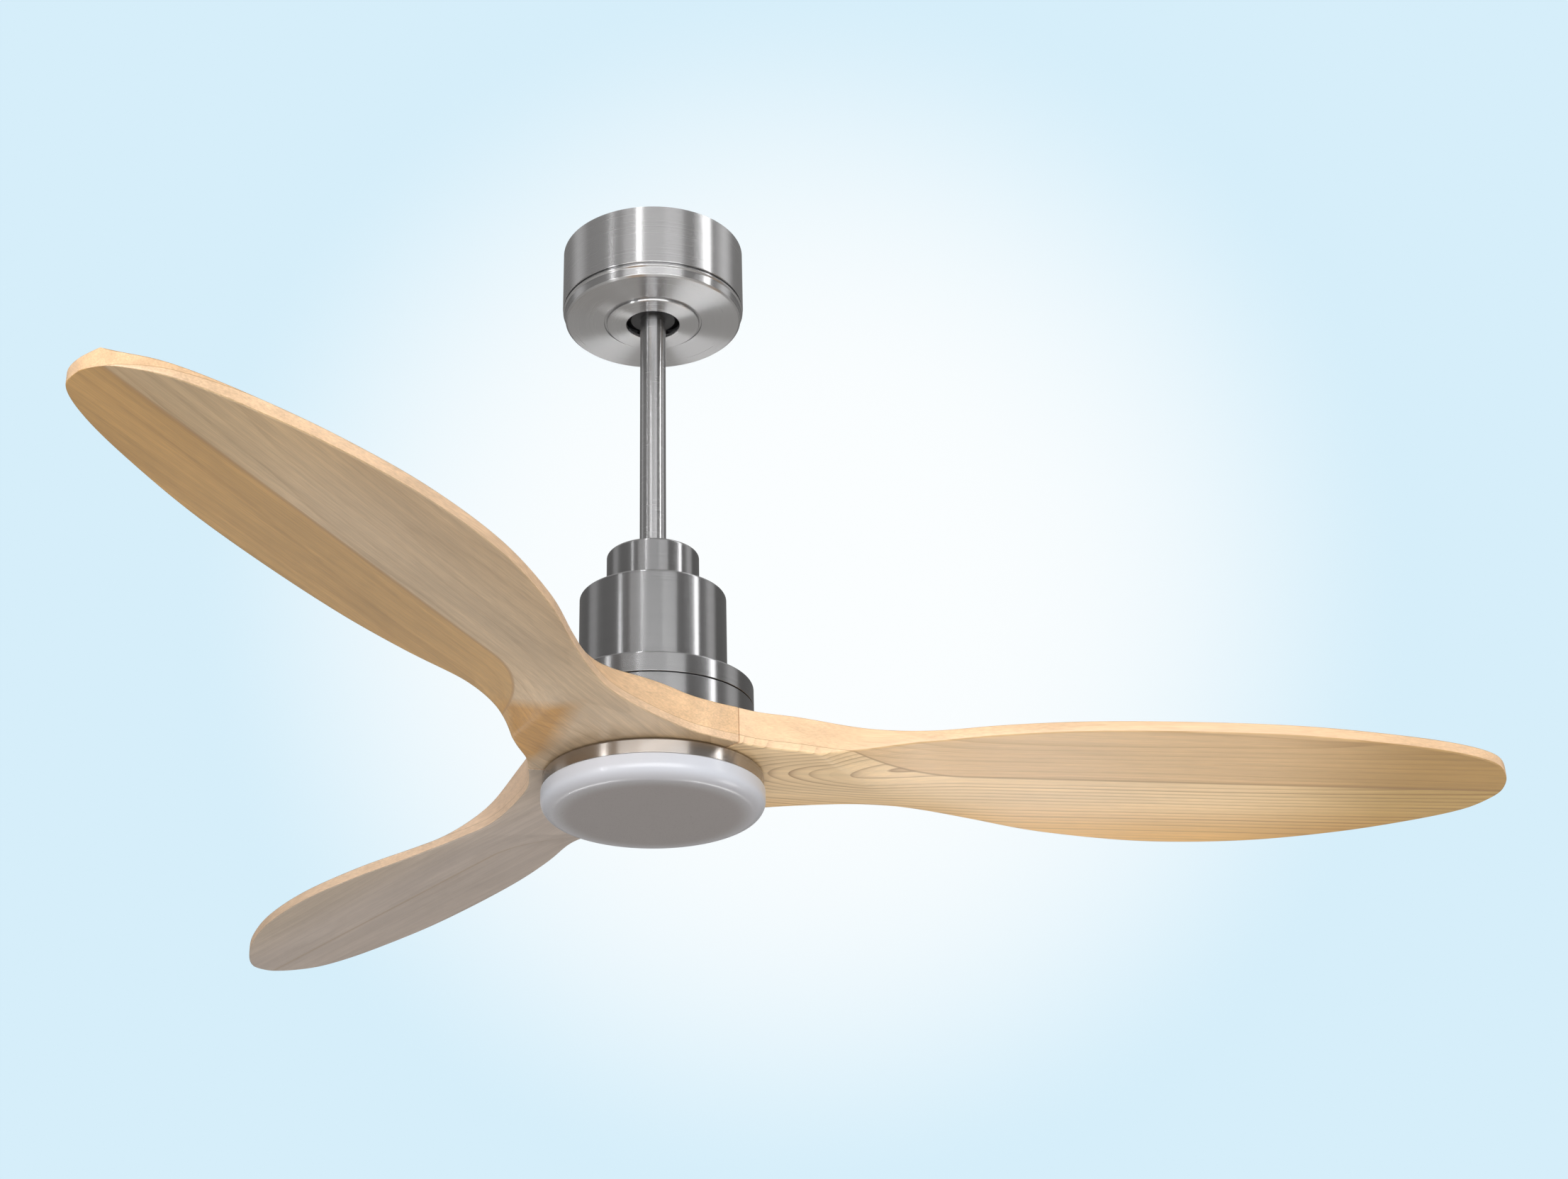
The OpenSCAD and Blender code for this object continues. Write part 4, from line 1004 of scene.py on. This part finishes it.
@dataclass
class Blades:
    """Three carved blades whose roots close the hub between them.

    x runs along a blade and y across it, from the leading edge to the trailing edge. Each edge
    leaves its seam by a start, which is millimetres out from the waist and degrees off the seam,
    and goes on through stations, which are a share of the span and a distance across.
    """

    finishes: Finishes
    reach: float = 660.0
    azimuth: float = 4.2
    root_x: float = 60.0
    hub_t: float = 28.0
    mid_up: float = 10.3
    edge_t: float = 8.6
    crown: float = 3.0
    crown_gap: float = 12.0
    crown_run: float = 150.0
    crease_gap: float = 22.5
    crease_slope: float = 0.72
    crease_y: float = 57.0
    crease_run: float = 85.0
    pitch: float = 8.8
    tip_y: float = -5.0
    seam_lead: float = -53.0
    seam_trail: float = 67.0
    seam_gap: float = 1.0
    hole_r: float = 32.0
    waist_over_motor: float = 18.0
    edge_fillet: float = 1.3
    screw_inset: float = 15.0
    screw_stagger: float = 12.0
    screw_spread: float = 38.0
    screw_hole_r: float = 2.7
    counterbore_r: float = 6.5
    counterbore_depth: float = 9.0
    rib_steps: int = 12
    chord_steps: int = 26
    crease_degrees: float = 32.0
    hub_ribs: tuple[float, ...] = (12, 36, 60, 74, 88)
    tip_shares: tuple[float, ...] = (0.06, 0.035, 0.015, 0.004)
    lead_start: tuple[float, float] = (6.0, 11.0)
    trail_start: tuple[float, float] = (-1.5, -12.0)
    lead_stations: tuple[tuple[float, float], ...] = (
        (0.07, -61.5), (0.133, -51), (0.18, -48.5), (0.242, -53), (0.325, -64.5), (0.433, -73.5),
        (0.567, -77), (0.7, -75.5), (0.817, -67.5), (0.908, -57), (0.967, -43), (0.993, -24))
    trail_stations: tuple[tuple[float, float], ...] = (
        (0.032, 64.5), (0.108, 53), (0.175, 48), (0.242, 52.5), (0.325, 65), (0.433, 83),
        (0.567, 93.5), (0.7, 88.5), (0.817, 71), (0.908, 49), (0.967, 29), (0.993, 10))

    def __post_init__(self) -> None:
        """Take the hub's levels from the frame and set the two edges' points."""
        self.wood_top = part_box("blade_gaskets")[0].z / MM
        self.wood_bottom = self.wood_top - self.hub_t
        self.mid = self.wood_bottom + self.mid_up
        self.motor_r = node_span("motor_shell_bottom")[0]
        self.waist = self.motor_r + self.waist_over_motor
        tip = Vector((self.reach, self.tip_y))
        out, off = self.lead_start
        self.lead = [self.on_seam(self.waist, self.seam_lead, 1),
                     polar(self.waist + out, self.seam_lead + off),
                     *(self.along(s) for s in self.lead_stations), tip]
        out, off = self.trail_start
        self.trail = [self.on_seam(self.waist, self.seam_trail, -1),
                      polar(self.waist + out, self.seam_trail + off),
                      *(self.along(s) for s in self.trail_stations), tip]

    def along(self, station: tuple[float, float]) -> Vector:
        """Point at a share of the span and a distance across."""
        return Vector((self.root_x + station[0] * (self.reach - self.root_x), station[1]))

    def on_seam(self, radius: float, degrees: float, side: int) -> Vector:
        """Point on a seam, moved in by half the gap."""
        return polar(radius, degrees) + side * self.seam_gap / 2 * polar(1, degrees + 90)

    def edge_point(self, points: list[Vector], before: Vector, after: Vector, u: float) -> Vector:
        """Point at u along an edge, on a smooth curve through its points.

        Args:
            points: Points of the edge.
            before: Point that the curve comes from.
            after: Point that the curve goes on to.
            u: Place along the edge, counted in points.

        Returns:
            The point.
        """
        last = len(points) - 1
        k = min(int(u), last - 1)
        t = u - k
        p0, p1, p2 = points[k - 1] if k else before, points[k], points[k + 1]
        p3 = points[k + 2] if k + 2 <= last else after
        return 0.5 * (2 * p1 + (p2 - p0) * t + (2 * p0 - 5 * p1 + 4 * p2 - p3) * t * t
                      + (3 * p1 - p0 - 3 * p2 + p3) * t * t * t)

    def ribs(self) -> list[tuple[Vector, Vector]]:
        """Lines across the blade, from the axis to the tip.

        Returns:
            Leading and trailing end of each line.
        """
        last = len(self.lead) - 1
        made = [(self.on_seam(r, self.seam_lead, 1), self.on_seam(r, self.seam_trail, -1))
                for r in self.hub_ribs]
        shares = [i / self.rib_steps for i in range(last * self.rib_steps)]
        shares += [last - s for s in self.tip_shares]
        before = turned(self.trail[1], -THIRD_TURN), turned(self.lead[1], THIRD_TURN)
        for u in shares:
            made.append((self.edge_point(self.lead, before[0], self.trail[-2], u),
                         self.edge_point(self.trail, before[1], self.lead[-2], u)))
        return made

    def pitched(self, y: float) -> float:
        """Middle level of the blade at a place across it."""
        return self.mid - y * math.tan(math.radians(self.pitch))

    def under(self, x: float, y: float) -> float:
        """Level of the underside: the flat hub, then a crease, then the pitched face.

        Args:
            x: Place along the blade.
            y: Place across it.

        Returns:
            The level.
        """
        crease = self.waist + self.crease_gap + self.crease_slope * (y + self.crease_y)
        w = rise((x - crease) / self.crease_run)
        return (1 - w) * self.wood_bottom + w * (self.pitched(y) - self.edge_t / 2)

    def over(self, x: float, y: float, v: float) -> float:
        """Level of the top face, which is crowned along its middle.

        Args:
            x: Place along the blade.
            y: Place across it.
            v: Share of the way across, from -1 to 1.

        Returns:
            The level.
        """
        w = ease((x - self.motor_r - self.crown_gap) / self.crown_run)
        crowned = self.pitched(y) + self.edge_t / 2 + self.crown * (1 - v * v)
        return (1 - w) * self.wood_top + w * crowned

    def section(self, lead: Vector, trail: Vector) -> list[Vector]:
        """Points once round the blade on the line between two edge points.

        Args:
            lead: Point on the leading edge.
            trail: Point on the trailing edge.

        Returns:
            The points, first along the underside and then back along the top.
        """
        width = (trail - lead).length
        fillet = min(self.edge_fillet, 0.3 * width)
        way = (trail - lead).normalized()
        insets = [fillet * (1 - math.cos(math.radians(a))) for a in (90, 60, 30, 0)]
        drops = [fillet * (1 - math.sin(math.radians(a))) for a in (90, 60, 30, 0)]
        places = [(d, h) for d, h in zip(reversed(insets), reversed(drops))]
        shares = [0.5 - 0.5 * math.cos(math.pi * k / self.chord_steps)
                  for k in range(1, self.chord_steps)]
        places += [(fillet + (width - 2 * fillet) * share, 0.0) for share in shares]
        places += [(width - d, h) for d, h in zip(insets, drops)]
        points = []
        for face in (1, -1):
            for d, h in places if face == 1 else reversed(places):
                p = lead + way * d
                v = 2 * d / width - 1
                z = self.under(p.x, p.y) + h if face == 1 else self.over(p.x, p.y, v) - h
                points.append(Vector((p.x, p.y, z)))
        return points

    def body_mesh(self, name: str) -> bpy.types.Object:
        """One blade in its own frame, before its holes are cut.

        Args:
            name: Name of the piece.

        Returns:
            The piece.
        """
        rings = [self.section(lead, trail) for lead, trail in self.ribs()]
        made = bmesh.new()
        rows = [[made.verts.new(p * MM) for p in ring] for ring in rings]
        count = len(rows[0])
        for row, after in zip(rows, rows[1:]):
            for j in range(count):
                n = (j + 1) % count
                made.faces.new((row[j], row[n], after[n], after[j]))
        made.faces.new(rows[0])
        made.faces.new(list(reversed(rows[-1])))
        bmesh.ops.recalc_face_normals(made, faces=made.faces)
        mesh = bpy.data.meshes.new(name)
        made.to_mesh(mesh)
        made.free()
        return link(name, mesh)

    def blade(self, name: str, node: str, index: int, finish: Finish) -> None:
        """Carve one blade, note its grain and turn it to its place.

        Args:
            name: Name of the piece.
            node: Node of the frame that it stands for.
            index: Which third of the turn it has.
            finish: Its finish.
        """
        piece = self.body_mesh(name)
        low, high = self.wood_bottom - 1, self.wood_top + 1
        seat = self.wood_bottom + self.counterbore_depth
        cutters = [cylinder("bore", self.hole_r, low, high, Vector((0, 0)), 96)]
        middle = (self.seam_lead + self.seam_trail) / 2
        outer_r = self.motor_r - self.screw_inset
        for radius, degrees in ((outer_r, -self.screw_spread), (outer_r - self.screw_stagger, 0),
                                (outer_r, self.screw_spread)):
            at = polar(radius, middle + degrees)
            cutters.append(cylinder("screw_hole", self.screw_hole_r, low, high, at, 32))
            cutters.append(cylinder("counterbore", self.counterbore_r, low, seat, at, 48))
        carve(piece, cutters)
        mesh = piece.data
        grain = mesh.attributes.new("grain", "FLOAT_VECTOR", "POINT")
        grain.data.foreach_set("vector", [c for v in mesh.vertices for c in v.co])
        mesh.transform(Matrix.Rotation(math.radians(self.azimuth + THIRD_TURN * index), 4, "Z"))
        mesh.shade_smooth()
        mesh.set_sharp_from_angle(angle=math.radians(self.crease_degrees))
        dress(piece, finish, Body.ROTOR, "blade_wood", node)

    def build(self) -> None:
        """Make the three blades, and dress what fastens them."""
        looks = {
            "blade_a": ("carved_blade_a", LacqueredWood(
                "satin_lacquered_wood_a", "#D8B283", fibre=0.7, tip_tone=(0.64, 0.57, 0.36),
                upper=Board("#DAB687", "#9C7442", "#D0AA70", 4.6, 0.5, (-62, 40), 8, seed=12.0),
                lower=Board("#EDCD9E", "#86592C", "#DFAF69", 4.6, 1.0, (-16, -13), 4, oval_x=205.0,
                            seed=15.0))),
            "blade_b": ("carved_blade_b", LacqueredWood(
                "satin_lacquered_wood_b", "#BFAFA0", fibre=0.8, glue="#9A8468",
                upper=Board("#B4A599", "#8F7A62", "#B5A390", 5.0, 0.35, (10, 110), 8, seed=7.0),
                lower=Board("#B6A79B", "#8F7A62", "#B7A591", 5.0, 0.35, (-20, -140), 8, seed=9.0))),
            "blade_c": ("carved_blade_c", LacqueredWood(
                "satin_lacquered_wood_c", "#DDBF9B", glue="#A07C52", tip_tone=(1.0, 0.96, 0.85),
                upper=Board("#C39B63", "#7D5429", "#BD934B", 5.5, 0.4, (-30, 130), 10, seed=1.0),
                lower=Board("#C9AF8E", "#836139", "#C4A680", 5.0, 0.45, (40, -120), 12, seed=4.0),
                block=Block(
                    Board("#BF8E4A", "#7E5224", "#BF8E4A", 2.6, 0.6, (0, -60), 5, seed=21.0),
                    ((69, -82), (166, -40), (155, 15), (79, -50)))))}
        for index, (node, (name, finish)) in enumerate(looks.items()):
            self.blade(name, node, index, finish)
        dress_node("blade_gaskets", self.finishes.rubber)
        dress_node("blade_washers", self.finishes.zinc)
        dress_node("blade_screws", self.finishes.zinc)


@dataclass
class Light:
    """Light pan, its board of chips and the opal bowl."""

    finishes: Finishes
    pan_sheet: float = 1.2
    pan_bore_r: float = 8.7
    round_r: float = 11.0
    dome: float = 1.5
    wall: float = 2.0
    gap: float = 0.3
    rim_inset: float = 5.8
    dome_steps: int = 12
    inner_dome_steps: int = 6

    def build(self) -> None:
        """Make the bowl and dress the rest."""
        f = self.finishes
        for node, finish in {
                "light_mount": f.zinc, "shaft_nut": f.zinc, "pan_screws": f.zinc,
                "led_board": f.mask, "led_chips": f.phosphor, "board_screws": f.zinc}.items():
            dress_node(node, finish)
        self.pan()
        self.bowl()

    def pan(self) -> None:
        """Shallow spun pan with a softened upper edge."""
        radius, low, high = node_span("light_pan")
        t, bore = self.pan_sheet, self.pan_bore_r
        profile = rounded([
            Corner(bore, high - t, 0.2), Corner(bore, high, 0.3), Corner(radius, high, 1.3),
            Corner(radius, low, 0.35), Corner(radius - t, low, 0.3),
            Corner(radius - t, high - t, 0.8)])
        dress(lathe("spun_pan", profile), self.finishes.nickel_ring, Body.HANGING,
              "brushed_nickel", "light_pan")

    def bowl(self) -> None:
        """Opal bowl: a low dome, a full rounded corner and a straight side with an inner rim."""
        radius, low, rim_top = node_span("diffuser")
        top = node_span("light_pan")[1] - self.gap
        rim, t = radius - self.rim_inset, self.wall
        face = radius - self.round_r
        corner = low + self.dome + self.round_r
        inner_r = self.round_r - t
        n, m = self.dome_steps, self.inner_dome_steps
        profile = [Vector((face * k / n, low + self.dome * (k / n) ** 2)) for k in range(n)]
        profile += [Vector((face + self.round_r * math.sin(a), corner - self.round_r * math.cos(a)))
                    for a in (math.radians(5 * k) for k in range(19))]
        profile += [Vector(point) for point in (
            (radius, top - 0.8), (radius - 0.25, top - 0.25), (radius - 0.8, top), (rim, top),
            (rim, rim_top), (rim - t, rim_top), (rim - t, top - t), (radius - t, top - t - 2))]
        profile += [Vector((face + inner_r * math.sin(a), corner - inner_r * math.cos(a)))
                    for a in (math.radians(90 - 10 * k) for k in range(10))]
        profile += [Vector((face * k / m, low + t + self.dome * (k / m) ** 2))
                    for k in range(m - 1, -1, -1)]
        dress(lathe("opal_bowl", profile), self.finishes.opal, Body.BOWL, "opal", "diffuser")


@dataclass
class Softbox:
    """A soft studio light."""

    name: str
    azimuth: float
    distance: float
    level: float
    width: float
    height: float
    watts: float
    colour: str = "#FFFFFF"
    aim: float = -380.0

    def build(self) -> None:
        """Hang the light round the fan's axis, counted from the viewer's side, and aim it."""
        data = bpy.data.lights.new(self.name, "AREA")
        data.shape, data.size, data.size_y = "RECTANGLE", self.width * MM, self.height * MM
        data.energy = self.watts
        data.color = linear(self.colour)[:3]
        lamp = bpy.data.objects.new(self.name, data)
        bpy.context.scene.collection.objects.link(lamp)
        place = polar(self.distance, self.azimuth - 90)
        lamp.location = Vector((place.x, place.y, self.level)) * MM
        aim = Vector((0, 0, self.aim)) * MM - lamp.location
        lamp.rotation_euler = aim.to_track_quat("-Z", "Y").to_euler()
        log.info("%s: %.0f W", self.name, self.watts)


@dataclass
class Studio:
    """Pale floor, pale surround, soft lights and the camera below the fan."""

    floor_level: float = -4200.0
    floor_side: float = 60000.0
    sensor: float = 36.0
    lens: float = 52.85
    clip: tuple[float, float] = (0.05, 100.0)
    camera_at: tuple[float, float, float] = (0.0, -1635.5, -1086.0)
    look_up: float = 25.36
    shift_x: float = 0.0836
    sky: str = "#D6EEFA"
    glow: str = "#FBFEFF"
    glow_side: float = 0.067
    glow_wide: float = 15.0
    ambient: float = 0.22
    ambient_below: float = 0.42
    overhead: float = 0.72
    overhead_above: float = 0.8
    # name, azimuth, distance, level, width, height and watts
    boxes: tuple[Softbox, ...] = (
        Softbox("strip_left_low", -49, 2100, -650, 140, 1300, 8.0),
        Softbox("strip_left_high", -20, 2100, 2700, 130, 1500, 13.0),
        Softbox("strip_right", 70, 2100, 800, 160, 2800, 11.0),
        Softbox("middle_fill", 26, 2600, 500, 1050, 2000, 1.8),
        Softbox("right_fill", 100, 2600, 700, 900, 2600, 4.5),
        Softbox("left_fill", -105, 2600, 500, 900, 2600, 2.6),
        Softbox("front_wash", 0, 4300, -850, 6000, 1700, 190),
        Softbox("low_left", -162, 2600, -3250, 60, 1500, 14),
        Softbox("low_right", 162, 2600, -3250, 60, 1500, 14),
        Softbox("right_low", 100, 1900, -2100, 700, 700, 8),
    )

    def build(self) -> None:
        """Make the floor, the surround, the lights and the camera."""
        self.floor()
        self.surround()
        for box in self.boxes:
            box.build()
        self.camera()

    def floor(self) -> None:
        """Plain pale floor far below."""
        half = self.floor_side / 2 * MM
        mesh = bpy.data.meshes.new("floor")
        corners = [(-half, -half, 0), (half, -half, 0), (half, half, 0), (-half, half, 0)]
        mesh.from_pydata([(x, y, self.floor_level * MM) for x, y, _ in corners], [], [(0, 1, 2, 3)])
        piece = link("floor", mesh)
        finish = Moulding("pale_floor_paint", "#E4E3E1", roughness=0.8, texture_mm=3.0)
        mesh.materials.append(finish.material())

    def surround(self) -> None:
        """Pale sky-blue surround that lights the fan more softly than it shows."""
        world = bpy.data.worlds.new("pale_surround")
        world.use_nodes = True
        tree = world.node_tree
        tree.nodes.clear()
        way = add(tree, "TexCoord", out="Generated")
        slope = math.tan(math.radians(self.look_up))
        behind = Vector((self.glow_side, 1.0, slope)).normalized()
        near = add(tree, "VectorMath", way, behind, operation="DOT_PRODUCT", out="Value")
        glow = add(tree, "MapRange", near, math.cos(math.radians(self.glow_wide)), 1.0,
                   interpolation_type="SMOOTHSTEP")
        paint = add(tree, "Mix", {0: glow, 6: linear(self.sky), 7: linear(self.glow)},
                    data_type="RGBA", out=2)
        seen = add(tree, "Background", paint, 1.0)
        height = add(tree, "SeparateXYZ", way, out="Z")
        strength = add(tree, "MapRange", height, self.ambient_below, self.overhead_above,
                       self.ambient, self.overhead, interpolation_type="SMOOTHSTEP")
        lit = add(tree, "Background", linear("#F4F2F0"), strength)
        eye = add(tree, "LightPath", out="Is Camera Ray")
        add(tree, "OutputWorld", add(tree, "MixShader", eye, lit, seen))
        bpy.context.scene.world = world

    def camera(self) -> None:
        """Camera below and in front, looking up at the fan."""
        data = bpy.data.cameras.new("camera")
        data.lens, data.sensor_width, data.shift_x = self.lens, self.sensor, self.shift_x
        data.clip_start, data.clip_end = self.clip
        eye = bpy.data.objects.new("camera", data)
        bpy.context.scene.collection.objects.link(eye)
        eye.location = Vector(self.camera_at) * MM
        eye.rotation_euler = (math.radians(90 + self.look_up), 0, 0)
        bpy.context.scene.camera = eye
        bpy.context.scene.view_settings.view_transform = "Standard"


def main() -> None:
    """Build the studio and every sub-assembly in order."""
    logging.basicConfig(level=logging.INFO, format="%(name)s: %(message)s")
    finishes = Finishes()
    Studio().build()
    for assembly in (Canopy(finishes), Hanger(finishes), Housing(finishes), Motor(finishes),
                     Blades(finishes), Light(finishes)):
        assembly.build()
        log.info("%s built", type(assembly).__name__)


if __name__ == "__main__":
    main()
